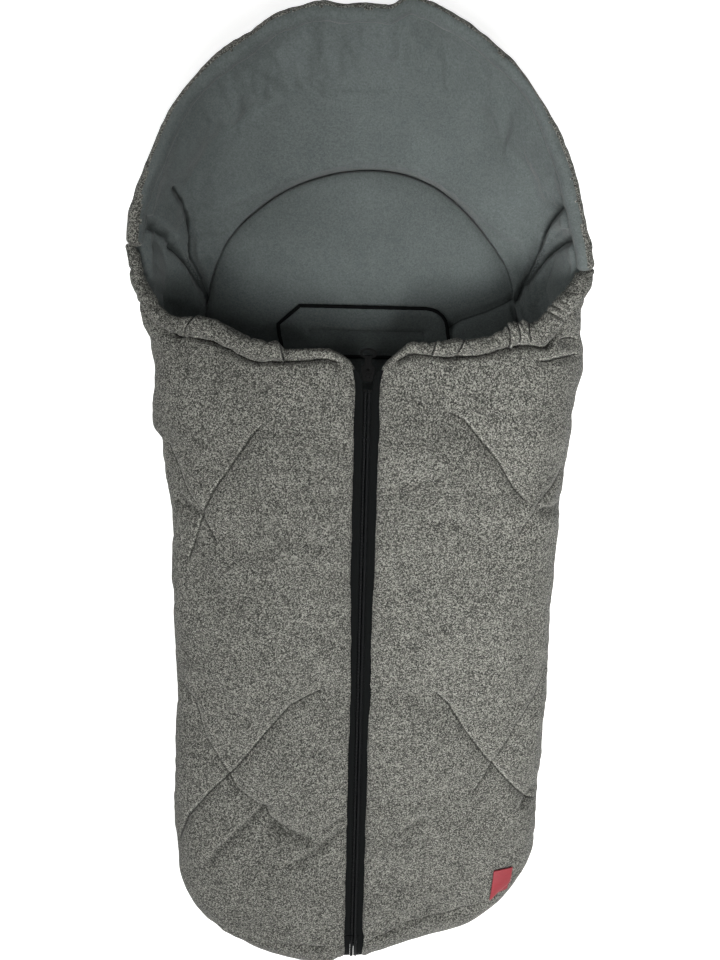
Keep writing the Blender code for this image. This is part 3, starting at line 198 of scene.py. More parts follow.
def cloth(name, shades, grain_mm, fleck_share, patch_mm, painted_line_shade, painted_ridge_highlight, bump_mm, roughness, sheen):
    """A matt cloth of mixed fibres. Painted shade darkens its seams, creases and folds, with a painted highlight on a
    ridge beside them.
    """
    material, output = new_material(name)
    place = add_node(material, "ShaderNodeAttribute", attribute_name="rest_place").outputs["Vector"]
    tufts, patches, nap = (
        add_node(material, "ShaderNodeTexNoise", {"Vector": place, "Scale": 1000.0 / spots_mm, "Detail": detail,
                                                  "Roughness": crispness}).outputs["Fac"]
        for spots_mm, detail, crispness in ((grain_mm * 1.5, 4.0, 0.8), (patch_mm, 3.0, 0.6),
                                            (grain_mm * 0.8, 3.0, 0.7)))
    fleck = add_node(material, "ShaderNodeTexVoronoi", {"Vector": place, "Scale": 1000.0 / grain_mm}).outputs["Color"]
    fleck = add_node(material, "ShaderNodeSeparateXYZ", {0: fleck}).outputs[0]
    fibres = add_node(material, "ShaderNodeMix", {0: fleck_share, 2: tufts, 3: fleck}).outputs[0]
    colours = add_node(material, "ShaderNodeValToRGB", {"Fac": fibres})
    ramp = colours.color_ramp
    ramp.elements[0].position, ramp.elements[0].color = shades[0][0], linear(shades[0][1])
    ramp.elements[1].position, ramp.elements[1].color = shades[-1][0], linear(shades[-1][1])
    for position, shade in shades[1:-1]:
        ramp.elements.new(position).color = linear(shade)
    # Painted shade on the lines and a painted highlight on the ridge beside them
    line = shaded_line_mask(material, 0.0013)
    highlight_ridge = shaded_line_mask(material, 0.0012, 0.0022)
    sewn = colours.outputs["Color"]
    for amount, low, high, darkest, palest in ((patches, 0.3, 0.7, 0.90, 1.10), (highlight_ridge, 0.0, 1.0, 1.0, painted_ridge_highlight),
                                               (line, 0.0, 1.0, 1.0, painted_line_shade)):
        shade = add_node(material, "ShaderNodeMapRange", {"Value": amount, "From Min": low, "From Max": high,
                                                          "To Min": darkest, "To Max": palest}).outputs[0]
        sewn = add_node(material, "ShaderNodeVectorMath", {0: sewn, 1: shade}, operation="MULTIPLY").outputs[0]
    height = add_node(material, "ShaderNodeMath", {0: nap, 1: line}, operation="SUBTRACT").outputs[0]
    bump = add_node(material, "ShaderNodeBump", {"Height": height, "Strength": 0.6, "Distance": bump_mm / 1000.0})
    shader = add_node(material, "ShaderNodeBsdfPrincipled",
                      {"Base Color": sewn, "Roughness": roughness, "Normal": bump.outputs["Normal"],
                       "Sheen Weight": sheen, "Sheen Roughness": 0.5, "Specular IOR Level": 0.15})
    material.node_tree.links.new(shader.outputs[0], output.inputs["Surface"])
    return material


# The twill's flecks read as salt and pepper, and the fleece as a soft, even blue-grey. Flecks
# are drawn at 0.9 mm and tufts at 1.1 mm, a little coarser than they are.
# Painted shade on the lines and a painted highlight beside them: 0.12 and 1.6 on the melange, 0.40 and none on the
# fleece.
melange = cloth("brushed_melange_twill", ((0.24, "#292927"), (0.50, "#595954"), (0.76, "#9d9d95")),
                0.88, 0.55, 38.0, 0.12, 1.60, 0.8, 0.95, 0.10)
fleece = cloth("knitted_polyester_fleece", ((0.25, "#505756"), (0.75, "#686e6d")),
               1.1, 0.30, 70.0, 0.40, 1.0, 0.5, 1.0, 0.20)

quarter_turn = math.radians(90.0)
body_half_width = 0.196
hood_half_width = 0.217
foot_centre_y = -0.358
foot_depth = 0.127
hood_centre_y = 0.262
hood_depth = 0.230
top_height = 0.101
side_seam_height = 0.050
hood_rim_height = 0.086
wall = 0.0137
back_rounding = 0.050
front_rounding = 0.046
head_seam_y = 0.199
head_seam_radius = 0.166


def smooth(value):
    """0 below 0, 1 above 1, and a soft rise between them."""
    value = min(max(value, 0.0), 1.0)
    return value * value * (3.0 - 2.0 * value)


def half_width(y):
    """Half of the plan outline's width beside the body."""
    return body_half_width + (hood_half_width - body_half_width) * smooth(y / hood_centre_y)


def seam_height(y):
    """The side seam, which climbs into the hood's rim."""
    return side_seam_height + (hood_rim_height - side_seam_height) * smooth((y - 0.150) / 0.150)


# As it lies, the stuffed bag leans and bulges a little: y, then how many millimetres the left
# and the right side stand out from their cut outline. The foot end lies slightly askew.
lie_of_the_sides = (
    (-0.500, 2, -6), (-0.400, -1, -7), (-0.357, 0, -6), (-0.330, 4, -4), (-0.300, 5, -3), (-0.255, 3, -2),
    (-0.205, 0, -1), (-0.160, -2, 0), (-0.100, 0, 0), (-0.020, 0, 0), (0.010, -2, 1), (0.040, -1, 2),
    (0.060, 1, 1), (0.085, 0, 0), (0.097, 0, -1), (0.115, 6, -1), (0.134, 4, -3), (0.155, -1, -3),
    (0.175, -4, -2), (0.195, -4, -5), (0.215, 0, -11), (0.235, 1, -13), (0.255, 3, -11), (0.275, 4, -10),
    (0.290, 6, -12), (0.310, 7, -15), (0.330, 5, -16), (0.360, 3, -14), (0.400, 5, -12), (0.440, -1, -17),
    (0.500, 0, -20))


def as_it_lies(place):
    """Where a point of the cut shape comes to lie."""
    for below, above in zip(lie_of_the_sides, lie_of_the_sides[1:]):
        if place.y < above[0] or above is lie_of_the_sides[-1]:
            break
    share = smooth((place.y - below[0]) / (above[0] - below[0]))
    side = 1 if place.x < 0.0 else 2
    stand = (below[side] + (above[side] - below[side]) * share) / 1000.0
    lean = stand * smooth(abs(place.x) / 0.19) * (1.0 if place.x > 0.0 else -1.0)
    lean -= 0.0068 * place.y * smooth(abs(place.x) / 0.10)
    lean -= 0.008 * smooth((place.y - 0.40) / 0.08)
    off_zip = place.x * smooth((abs(place.x) - 0.006) / 0.020)
    skew = (0.03 if place.x < 0.0 else 0.17) * off_zip + 0.016 * math.exp(-(((off_zip - 0.062) / 0.055) ** 2))
    skew *= smooth((-0.20 - place.y) / 0.20)
    rise = 0.006 * math.exp(-(((place.x + 0.145) / 0.030) ** 2))
    rise += 0.005 * smooth((-0.020 - place.x) / 0.020) * smooth((place.x + 0.105) / 0.030)
    rise += 0.012 * smooth((place.x - 0.018) / 0.025) * smooth((0.175 - place.x) / 0.035)
    rise *= smooth((place.y - 0.12) / 0.06) * smooth((place.z - 0.05) / 0.04)
    return Vector((place.x + lean, place.y + skew + rise, place.z))


def lay_down(piece):
    """Put a finished piece as it lies, and note each point's place for its pattern."""
    cut = bmesh.new()
    cut.from_mesh(piece.data)
    rest = cut.verts.layers.float_vector.get("rest_place") or cut.verts.layers.float_vector.new("rest_place")
    for vert in cut.verts:
        vert[rest] = vert.co
        vert.co = as_it_lies(vert.co)
    cut.to_mesh(piece.data)
    cut.free()


def cut_sheet(name, columns, rows, lay):
    """An open sheet from a grid. lay gives each point, how firmly it is sewn down, how far it
    lies from the nearest edge and the same point on the cloth behind the wadding."""
    sheet = bmesh.new()
    bmesh.ops.create_grid(sheet, x_segments=columns, y_segments=rows, size=0.5)
    to_edge = sheet.verts.layers.float.new("to_edge")
    behind = sheet.verts.layers.float_vector.new("behind")
    sewn = []
    for vert in sheet.verts:
        vert.co, held, vert[to_edge], vert[behind] = lay(vert.co.x + 0.5, vert.co.y + 0.5)
        sewn.append(held)
    piece = object_from(sheet, name)
    held_by = piece.vertex_groups.new(name="held")
    for number, held in enumerate(sewn):
        held_by.add([number], held, "REPLACE")
    return piece


def swell(piece, pressure, slack, cap):
    """The wadding pushes the cloth out between its seams; cloth that is cut a little too long
    for its place buckles there into soft folds."""
    filling = piece.modifiers.new("filling", "CLOTH")
    fabric = filling.settings
    fabric.quality = 5
    fabric.mass = 0.3
    fabric.tension_stiffness = fabric.compression_stiffness = 15.0
    fabric.shear_stiffness = 5.0
    fabric.bending_stiffness = 0.5
    fabric.use_pressure = True
    fabric.uniform_pressure_force = pressure
    fabric.shrink_min = -slack
    fabric.vertex_group_mass = "held"
    fabric.effector_weights.gravity = 0.0
    for frame_number in range(1, 21):
        bpy.context.scene.frame_set(frame_number)
    swollen = piece.evaluated_get(bpy.context.evaluated_depsgraph_get()).to_mesh()
    moves = [after.co - before.co for after, before in zip(swollen.vertices, piece.data.vertices)]
    piece.evaluated_get(bpy.context.evaluated_depsgraph_get()).to_mesh_clear()
    piece.modifiers.remove(filling)
    bpy.context.scene.frame_set(1)
    for vert, move in zip(piece.data.vertices, moves):
        vert.co += move * min(1.0, cap / max(move.length, 1e-9))


def nearest_line(place, lines, upright=False):
    """Signed distance across the nearest line, plain distance to it, and how far along it.
    It is positive on the left of the line's run, or with upright on the head's side of it."""
    best = (1.0, 1.0, 0.0)
    for number, line in enumerate(lines):
        travelled = 0.0
        for (ax, ay), (bx, by) in zip(line, line[1:]):
            run_x, run_y = bx - ax, by - ay
            length = math.hypot(run_x, run_y)
            along = ((place.x - ax) * run_x + (place.y - ay) * run_y) / length
            clamped = min(max(along, 0.0), length)
            dx = place.x - ax - run_x * clamped / length
            dy = place.y - ay - run_y * clamped / length
            distance = math.hypot(dx, dy)
            if distance < best[1]:
                side = 1.0 if (run_x * dy - run_y * dx) * (run_x if upright else 1.0) > 0.0 else -1.0
                best = (distance * side, distance, number * 0.37 + travelled + clamped)
            travelled += length
    return best


def wobble(place, size, height):
    """Soft unevenness of stuffed cloth: bumps about one size across, up to the height."""
    return noise.noise(place / size) * height


def finish_panel(piece, groove, front_cloth, behind_cloth, own_lines=1.0, behind_lines=0.0):
    """Refine a swollen sheet, press its seams in, and give it the wadding and cloth behind."""
    panel = bmesh.new()
    panel.from_mesh(piece.data)
    to_edge = panel.verts.layers.float["to_edge"]
    behind = panel.verts.layers.float_vector["behind"]
    bmesh.ops.subdivide_edges(panel, edges=panel.edges[:], cuts=1, use_grid_fill=True)
    inner = [vert for vert in panel.verts if not vert.is_boundary]
    for _ in range(2):
        bmesh.ops.smooth_vert(panel, verts=inner, factor=0.5, use_axis_x=True, use_axis_y=True, use_axis_z=True)
    panel.normal_update()
    offset = panel.verts.layers.float_vector.new("seam_offset")
    strength = panel.verts.layers.float_vector.new("painted_shade_strength")
    for vert in panel.verts:
        sink, vert[offset], vert[strength] = groove(vert.co, vert[to_edge])
        vert.co += vert.normal * sink
    grown = bmesh.ops.extrude_face_region(panel, geom=panel.faces[:], use_keep_orig=True)
    for item in grown["geom"]:
        if isinstance(item, bmesh.types.BMVert):
            item.co = item[behind]
            item[strength] = item[strength] * behind_lines
        elif isinstance(item, bmesh.types.BMFace):
            item.material_index = 1
    for vert in panel.verts:
        vert[strength] = vert[strength] * own_lines
    bmesh.ops.recalc_face_normals(panel, faces=panel.faces[:])
    panel.verts.layers.float_vector.remove(panel.verts.layers.float_vector["behind"])
    panel.verts.layers.float.remove(panel.verts.layers.float["to_edge"])
    panel.to_mesh(piece.data)
    panel.free()
    piece.vertex_groups.clear()
    for material in (front_cloth, behind_cloth):
        piece.data.materials.append(material)


def back_wall(u, v):
    """u 0 to 1 round the foot from its middle, 1 to 2 up the side; v 0 on the floor, 1 at the seam."""
    angle = quarter_turn * v
    if u < 1.0:
        turn = quarter_turn * u
        edge = Vector((body_half_width * math.sin(turn), foot_centre_y - foot_depth * math.cos(turn)))
        flat = Vector(((body_half_width - back_rounding) * math.sin(turn),
                       foot_centre_y - (foot_depth - back_rounding) * math.cos(turn)))
    else:
        y = foot_centre_y + (head_seam_y - foot_centre_y) * (u - 1.0)
        edge = Vector((half_width(y), y))
        inset = back_rounding + (edge.x - head_seam_radius - back_rounding) * smooth(u * 2.0 - 3.0)
        flat = Vector((edge.x - inset, y))
    place = flat + (edge - flat) * math.sin(angle)
    return Vector((place.x, place.y, seam_height(edge.y) * (1.0 - math.cos(angle))))


def outward(surface, u, v, u_end, step=1e-3):
    """Unit normal of a surface given by a formula."""
    u = min(max(u, step), u_end - step)
    v = min(max(v, step), 1.0 - step)
    along = surface(u + step, v) - surface(u - step, v)
    across = surface(u, v + step) - surface(u, v - step)
    return along.cross(across).normalized()


def back_lining(a, b):
    """a runs from the left side seam to the right one, b from the foot to the head seam."""
    side = -1.0 if a < 0.5 else 1.0
    across = 1.0 - abs(2.0 * a - 1.0)
    u = b / 0.30 if b < 0.30 else 1.0 + (b - 0.30) / 0.70
    wall_share = 0.30 + 0.70 * (1.0 - smooth(u / 0.5))
    if across < wall_share or wall_share > 0.9999:
        v = 1.0 - across / wall_share
        outer = back_wall(u, v)
        normal = outward(back_wall, u, v, 2.0)
        if v > 0.97:
            normal.z = 0.0
        normal = normal.lerp(Vector((0.0, 0.0, -1.0)), max(0.0, 1.0 - v / 0.05)).normalized()
    else:
        share = (across - wall_share) / (1.0 - wall_share)
        start = back_wall(u, 0.0)
        middle_y = -0.435 + 0.105 * u if u < 1.0 else -0.330 + 0.695 * (u - 1.0)
        outer = start.lerp(Vector((0.0, middle_y, 0.0)), share)
        turn = quarter_turn * share
        arc = Vector((math.cos(turn), math.sin(turn), 0.0)) * head_seam_radius
        chord = Vector((head_seam_radius * (1.0 - share), (0.365 - head_seam_y) * share, 0.0))
        outer += (arc - chord) * max(0.0, u - 1.0) ** 3
        normal = Vector((0.0, 0.0, -1.0))
    outer.x *= side
    normal.x *= side
    on_edge = min(a, 1.0 - a, b, 1.0 - b) < 1e-4
    near_slot = max(abs(outer.x) - 0.07, abs(outer.y - 0.207) - 0.03) < 0.0
    held = 1.0 if on_edge or near_slot else 0.0
    gap = min(across * 0.24, (1.0 - b) * 0.5)
    return outer - normal * (wall + wobble(outer, 0.07, 0.0012)), held, gap, outer


# A fold of the lining, from the slot facing to the right end of the head seam
lining_fold = (((0.088, 0.213), (0.103, 0.222), (0.131, 0.231), (0.150, 0.239), (0.162, 0.246)),)


def head_arc(place, gap):
    """The lining is sewn to the hood's along the half-round head seam. Painted shade darkens the seam and the lining's
    fold.
    """
    to_arc = head_seam_radius - math.hypot(place.x, place.y - head_seam_y) if place.y > head_seam_y else 0.05
    across, distance = nearest_line(place, lining_fold)[:2]
    sink = -0.0020 * math.exp(-((to_arc / 0.004) ** 2)) - 0.0050 * math.exp(-((distance / 0.004) ** 2))
    return (sink, Vector((to_arc - 0.0006, across, 0.0)),
            Vector((0.5 * smooth(1.0 - abs(to_arc) / 0.008), smooth(1.0 - distance / 0.008), 0.0)))


back_panel = cut_sheet("back_panel", 90, 150, back_lining)
swell(back_panel, 0.6, 0.004, 0.004)
finish_panel(back_panel, head_arc, fleece, melange)

# The slot is cut through all three layers, and its rim is closed
slot_y = 0.207
slot_width = 0.116
slot_height = 0.0110
panel = bmesh.new()
panel.from_mesh(back_panel.data)
for place, normal in (((slot_width / 2, 0, 0), (1, 0, 0)), ((-slot_width / 2, 0, 0), (1, 0, 0)),
                      ((0, slot_y + slot_height / 2, 0), (0, 1, 0)),
                      ((0, slot_y - slot_height / 2, 0), (0, 1, 0))):
    near = [face for face in panel.faces if abs(face.calc_center_median().x) < 0.08
            and abs(face.calc_center_median().y - slot_y) < 0.03]
    parts = {edge for face in near for edge in face.edges} | {vert for face in near for vert in face.verts}
    bmesh.ops.bisect_plane(panel, geom=list(parts) + near, plane_co=place, plane_no=normal)
inside = [face for face in panel.faces if abs(face.calc_center_median().x) < slot_width / 2
          and abs(face.calc_center_median().y - slot_y) < slot_height / 2]
bmesh.ops.delete(panel, geom=inside, context="FACES")
rims = [edge for edge in panel.edges if edge.is_boundary]
bmesh.ops.bridge_loops(panel, edges=rims)
bmesh.ops.recalc_face_normals(panel, faces=panel.faces[:])
panel.to_mesh(back_panel.data)
panel.free()
lay_down(back_panel)
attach(back_panel, "back")
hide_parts("back_outer", "back_wadding", "back_liner")


# Hood: the same three layers, sewn to the half-round end of the back and drawn up by the
# elastic in its rim. The fleece is cut longer than the elastic, so it falls in soft folds.
def head_outline(part):
    """Plan outline from the end of the head seam (0) to the top of the head (1)."""
    if part < 0.15:
        y = head_seam_y + (hood_centre_y - head_seam_y) * part / 0.15
        return Vector((half_width(y), y, 0.0))
    turn = quarter_turn * (part - 0.15) / 0.85
    return Vector((hood_half_width * math.cos(turn), hood_centre_y + hood_depth * math.sin(turn), 0.0))


def hood_wall(u, v):
    """u 0 at the right end, 1 at the top of the head, 2 at the left end; v from seam to rim."""
    part = min(u, 2.0 - u)
    turn = quarter_turn * part
    edge = head_outline(max(part, 0.0))
    if part < 0.0:
        edge = Vector((half_width(head_seam_y), head_seam_y + part * hood_depth, 0.0))
    flat = Vector((head_seam_radius * math.cos(turn), head_seam_y + head_seam_radius * math.sin(turn), 0.0))
    full = math.radians(90.0 - 18.0 * smooth((part - 0.24) / 0.36))
    point = flat + (edge - flat) * (math.sin(full * v) / math.sin(full))
    point.z = seam_height(edge.y) * (1.0 - math.cos(full * v)) / (1.0 - math.cos(full))
    point.x *= 1.0 if u <= 1.0 else -1.0
    return point


def hood_normal(u, v):
    """Away from the dish; level at the rim's ends and straight along the head's middle."""
    normal = outward(hood_wall, u, v, 2.0)
    if abs(u - 1.0) < 0.02:
        normal = outward(hood_wall, 0.98, v, 2.0)
        normal.x = 0.0
    return normal.lerp(Vector((0.0, 0.0, -1.0)), max(0.0, 1.0 - v / 0.04)).normalized()


# The folds that the lining falls into at both sides, in plan, from the rim down to the seam
hood_folds = (((-0.179, 0.338), (-0.174, 0.327), (-0.170, 0.313), (-0.171, 0.294), (-0.173, 0.277),
               (-0.166, 0.256), (-0.162, 0.235), (-0.160, 0.221)),
              ((-0.190, 0.286), (-0.184, 0.279), (-0.178, 0.270), (-0.169, 0.253), (-0.163, 0.236)),
              ((0.194, 0.335), (0.193, 0.327), (0.187, 0.316), (0.183, 0.305), (0.178, 0.289), (0.172, 0.274),
               (0.168, 0.259), (0.164, 0.243)),
              ((0.200, 0.299), (0.193, 0.293), (0.184, 0.283), (0.176, 0.272), (0.170, 0.258)))
# Beyond each fold the lining stands up in a soft lobe: its middle in plan, size and height
hood_lobes = ((-0.186, 0.288, 0.022, 0.040, 0.010), (0.196, 0.315, 0.016, 0.035, 0.006),
              (0.190, 0.270, 0.014, 0.022, 0.006))


def hood_lining(a, b):
    """a runs from the head seam up to the rim, b from the right end to the left one."""
    u, v = 2.0 * b, a
    outer = hood_wall(u, v)
    inner = outer - hood_normal(u, v) * (wall + wobble(outer, 0.06, 0.0010))
    fold = nearest_line(inner, hood_folds)[1]
    held = 1.0 if min(a, 1.0 - a, b, 1.0 - b) < 1e-4 else smooth(1.0 - (fold - 0.001) / 0.003)
    return inner, held, min(a, 1.0 - a) * 0.14, outer


def hood_creases(place, gap):
    """Deep folds at the sides, and the head seam, both darkened with painted shade."""
    across, distance = nearest_line(place, hood_folds)[:2]
    deep = smooth(1.0 - distance / 0.010)
    to_rim = across if place.x > 0.0 else -across
    loft = sum(height * math.exp(-(((place.x - x) / wide) ** 2) - (((place.y - y) / long) ** 2))
               for x, y, wide, long, height in hood_lobes) * smooth((to_rim + 0.001) / 0.008)
    to_arc = math.hypot(place.x, place.y - head_seam_y) - head_seam_radius
    to_arc = to_arc + 0.0006 if place.y > head_seam_y else 1.0
    sink = loft - 0.0070 * math.exp(-((distance / 0.0036) ** 2)) - 0.0020 * math.exp(-((to_arc / 0.004) ** 2))
    return sink, Vector((across * 0.7, to_arc, 0.0)), Vector((deep, 0.5 * smooth(1.0 - abs(to_arc) / 0.008), 0.0))


hood = cut_sheet("hood", 40, 190, hood_lining)
if hood.data.polygons[0].normal.z < 0.0:
    hood.data.flip_normals()
swell(hood, 1.2, 0.02, 0.012)
finish_panel(hood, hood_creases, fleece, melange)
lay_down(hood)
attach(hood, "back")
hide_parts("hood_outer", "hood_wadding", "hood_liner")


# Front halves: melange, wadding and fleece quilted together along diagonal seams, closed to
# the back along the side seam and open beside the zip. Each one folds back from the zip.
mouth_middle_y = 0.176
corner_reach = Vector((0.017, 0.031))   # of the rounded corners beside the zip's notch
zip_edge_x = 0.0100                     # from the zip's middle to the cloth, above and at the foot
foot_edge_x = 0.0080
foot_corner_y = -0.4385                 # where the cloth begins to turn down over the foot
foot_side_y = -0.360                    # and where the sides begin beyond it
foot_part = 0.27                        # shares of a half's length: round the foot and at the mouth
mouth_part = 0.045
roll_start_x = 0.0235
roll_level = 0.0970


def mouth_y(x):
    """Mouth edge across the flat front; it stands up a little beside the zip's notch."""
    beside_notch = 0.012 * math.exp(-(((abs(x) - 0.028) / 0.045) ** 2))
    return mouth_middle_y + 0.034 * (abs(x) / 0.170) ** 2 + beside_notch


def mouth_side_y(side, v):
    """The mouth edge down the side, from the flat top (v 1) forward to the rim (v 0). On the
    right it runs there aslant, on the left it bends round."""
    flat_end = mouth_y(half_width(0.210) - front_rounding)
    turn = quarter_turn * v
    if side > 0.0:
        return flat_end + (0.258 - flat_end) * math.cos(turn)
    return flat_end + (0.270 - flat_end) * (1.0 - math.sin(turn))


def front_wall(side, u, v):
    """u 0 to 1 round the foot, 1 to 2 up the side, 2 to 3 to the mouth; v from seam to flat."""
    angle = quarter_turn * v
    reach = math.cos(angle)
    if u < 1.0:
        x_inset = body_half_width - front_rounding * (1.0 - reach)
        y_inset = foot_depth - front_rounding * (1.0 - reach)
        first = math.asin(foot_edge_x / x_inset)
        turn = first + (quarter_turn - first) * u
        x = x_inset * math.sin(turn)
        y = foot_centre_y - y_inset * math.cos(turn)
        z_seam = side_seam_height
    else:
        y = foot_centre_y + (head_seam_y - foot_centre_y) * (u - 1.0)
        if u > 2.0:
            y = head_seam_y + (mouth_side_y(side, v) - head_seam_y) * (u - 2.0)
        x = half_width(y) - front_rounding * (1.0 - reach)
        z_seam = seam_height(y)
    return Vector((x, y, z_seam + (top_height - z_seam) * math.sin(angle)))


both_sides = (("left", -1.0), ("right", 1.0))

# The mouth's edge from beside the zip out to the side and down to the seam. A roll lies on it,
# which leaves a deep crease in the cloth below. Share of the way, and the roll's radius in mm.
edges, edge_lengths = {}, {}
for side_name, side in both_sides:
    points = []
    for step in range(61):
        x = roll_start_x + (half_width(0.210) - front_rounding - roll_start_x) * step / 60.0
        points.append(Vector((x, mouth_y(x), roll_level)))
    for step in range(1, 41):
        point = front_wall(side, 3.0, 1.0 - step / 40.0)
        fall = step / 40.0
        points.append(Vector((point.x - 0.0055 * fall, point.y + 0.016 * fall ** 3,
                              point.z - 0.004 + 0.010 * fall)))
    lengths = [0.0]
    for before, after in zip(points, points[1:]):
        lengths.append(lengths[-1] + (after - before).length)
    edges[side_name], edge_lengths[side_name] = points, lengths
roll_profiles = {
    "left": ((0.00, 3.6), (0.06, 4.8), (0.225, 5.2), (0.240, 9.4), (0.40, 10.4), (0.590, 10.2), (0.604, 8.2),
             (0.80, 8.0), (0.93, 6.4), (1.00, 4.6)),
    "right": ((0.00, 3.8), (0.07, 5.4), (0.165, 5.8), (0.180, 7.6), (0.27, 8.2), (0.285, 7.2), (0.48, 7.8),
              (0.505, 10.2), (0.60, 10.4), (0.615, 9.6), (0.80, 10.4), (0.95, 9.4), (1.00, 6.0)),
}


def profile_at(profile, share):
    """The roll's radius in metres at a share of its length."""
    for (low, small), (high, large) in zip(profile, profile[1:]):
        if share <= high:
            break
    return (small + (large - small) * smooth((share - low) / (high - low))) / 1000.0


def roll_at(side_name, share):
    """Middle, outward direction and radius of the right or mirrored left roll."""
    points, lengths = edges[side_name], edge_lengths[side_name]
    place = share * lengths[-1]
    number = max(i for i, length in enumerate(lengths[:-1]) if length <= place + 1e-9)
    part = (place - lengths[number]) / (lengths[number + 1] - lengths[number])
    middle = points[number].lerp(points[number + 1], part)
    low, high = max(number - 1, 0), min(number + 2, len(points) - 1)
    run = points[high] - points[low]
    run.z = 0.0
    run.normalize()
    out = Vector((-run.y, run.x, 0.0))
    radius = profile_at(roll_profiles[side_name], share)
    sway = 0.0016 * noise.noise(Vector((share * 9.0, 4.0 + len(side_name), 0.0)))
    middle += out * (sway + radius - 0.0086) + Vector((0.0, 0.0, (radius - 0.0045) * 0.55))
    return middle, out, radius


under_rolls = {}
for side_name, side in both_sides:
    under_rolls[side_name] = []
    for step in range(81):
        middle, out, radius = roll_at(side_name, 0.02 + 0.93 * step / 80.0)
        below = middle - out * (radius * 0.97)
        under_rolls[side_name].append((below.x * side, below.y))


# Quilting seams in plan, in two directions that cross near the sides, then the foot's hem
quilting = {
    "left": (
        (((-0.097, 0.119), (-0.117, 0.097), (-0.144, 0.057), (-0.158, 0.034), (-0.172, -0.012)),
         ((-0.041, -0.148), (-0.071, -0.165), (-0.095, -0.194), (-0.129, -0.241), (-0.153, -0.264),
          (-0.176, -0.295), (-0.190, -0.330))),
        (((-0.192, 0.098), (-0.182, 0.080), (-0.164, 0.040), (-0.146, 0.007)),
         ((-0.190, -0.152), (-0.171, -0.164), (-0.158, -0.202), (-0.142, -0.228), (-0.121, -0.261),
          (-0.096, -0.281), (-0.076, -0.307))),
        (((-0.150, -0.425), (-0.102, -0.440), (-0.060, -0.444), (-0.010, -0.448)),
         ((-0.096, -0.281), (-0.119, -0.303), (-0.156, -0.342)), ((-0.086, -0.298), (-0.066, -0.309), (-0.048, -0.315)),
         ((-0.012, -0.291), (-0.032, -0.304)), ((-0.016, -0.305), (-0.026, -0.314), (-0.062, -0.340)),
         ((-0.180, 0.046), (-0.171, 0.036), (-0.164, 0.033))),
    ),
    "right": (
        (((0.084, 0.134), (0.095, 0.129), (0.111, 0.110), (0.127, 0.092), (0.141, 0.068), (0.152, 0.056)),
         ((0.076, -0.148), (0.088, -0.159), (0.106, -0.186), (0.129, -0.217), (0.147, -0.237), (0.190, -0.290))),
        (((0.194, 0.081), (0.182, 0.066), (0.169, 0.052), (0.150, 0.020)),
         ((0.192, -0.130), (0.176, -0.157), (0.161, -0.179), (0.142, -0.216), (0.120, -0.262))),
        (((0.009, -0.444), (0.033, -0.447), (0.055, -0.441), (0.101, -0.427), (0.146, -0.413), (0.180, -0.385)),
         ((0.166, 0.186), (0.180, 0.190), (0.204, 0.193)), ((0.192, 0.207), (0.206, 0.208)),
         ((0.068, -0.297), (0.050, -0.314)), ((0.189, -0.273), (0.178, -0.284)), ((0.194, 0.044), (0.173, 0.043))),
    ),
}


corner_top = mouth_y(zip_edge_x + corner_reach.x)
wall_gap = 0.072        # from the side seam up to the flat top, along the cloth


def front_face(side, lines):
    """The outside of one front half: a from the side seam to the zip, b from foot to mouth."""
    def wall_here(u, v):
        return front_wall(side, u, v)

    def lay(a, b):
        if b < foot_part:
            u = b / foot_part
        elif b < 1.0 - mouth_part:
            u = 1.0 + (b - foot_part) / (1.0 - foot_part - mouth_part)
        else:
            u = 2.0 + (b - 1.0 + mouth_part) / mouth_part
        wall_share = 0.26 + 0.74 * (1.0 - smooth(u / 0.5))
        mouth_gap = (3.0 - u) * 0.025 if u > 2.0 else 0.025 + (2.0 - u) * 0.5
        if a < wall_share or wall_share > 0.9999:
            v = min(a / wall_share, 1.0)
            outer = wall_here(u, v)
            normal = outward(wall_here, u, v, 3.0)
            if v < 0.03:
                normal.z = 0.0
            normal = normal.lerp(Vector((0.0, 0.0, 1.0)), max(0.0, (v - 0.95) / 0.05)).normalized()
            gap = min(v * wall_gap, mouth_gap)
            if u < 0.4:
                gap = min(gap, abs(outer.x) - foot_edge_x)
        else:
            share = (a - wall_share) / (1.0 - wall_share)
            start = wall_here(u, 1.0)
            if u < 1.0:
                end = Vector((foot_edge_x, foot_corner_y + (foot_side_y - foot_corner_y) * u, top_height))
            elif u < 2.0:
                y = foot_side_y + (corner_top - corner_reach.y - foot_side_y) * (u - 1.0)
                end = Vector((zip_edge_x + (foot_edge_x - zip_edge_x) * smooth((-0.02 - y) / 0.10), y, top_height))
            else:
                turn = quarter_turn * (u - 2.0)
                end = Vector((zip_edge_x + corner_reach.x * (1.0 - math.cos(turn)),
                              corner_top - corner_reach.y * (1.0 - math.sin(turn)), top_height))
            outer = start.lerp(end, share)
            last = wall_here(3.0, 1.0)
            chord_x = last.x + (zip_edge_x + corner_reach.x - last.x) * share
            chord_y = last.y + (corner_top - last.y) * share
            outer.y += (mouth_y(chord_x) - chord_y) * max(0.0, u - 1.5) / 1.5
            normal = Vector((0.0, 0.0, 1.0))
            gap = min((1.0 - share) * (start - end).length, mouth_gap, wall_gap + share)
        outer.x *= side
        normal.x *= side
        seam = min(nearest_line(outer, family)[1] for family in lines[:2])
        held = smooth(1.0 - (seam - 0.0015) / 0.004)
        if min(a, 1.0 - a, b, 1.0 - b) < 1e-4:
            held = 1.0
        drawn = 1.0 - smooth(gap / 0.025)
        lining = outer - normal * wall * (1.0 - 0.55 * drawn)
        loft = 0.0030 * smooth(gap / 0.030) * (1.0 - math.exp(-((seam / 0.022) ** 2)))
        return outer + normal * loft, held, gap, lining
    return lay


seam_depths = (0.0030, 0.0026, 0.0050)
# Painted shade in the valleys: its strength for the two quilting families, then under the roll, along the hem and in
# the creases.
painted_seam_shades = (0.78, 0.62)
painted_under_roll_shade, painted_hem_shade, painted_crease_shade = 1.0, 0.5, 0.38


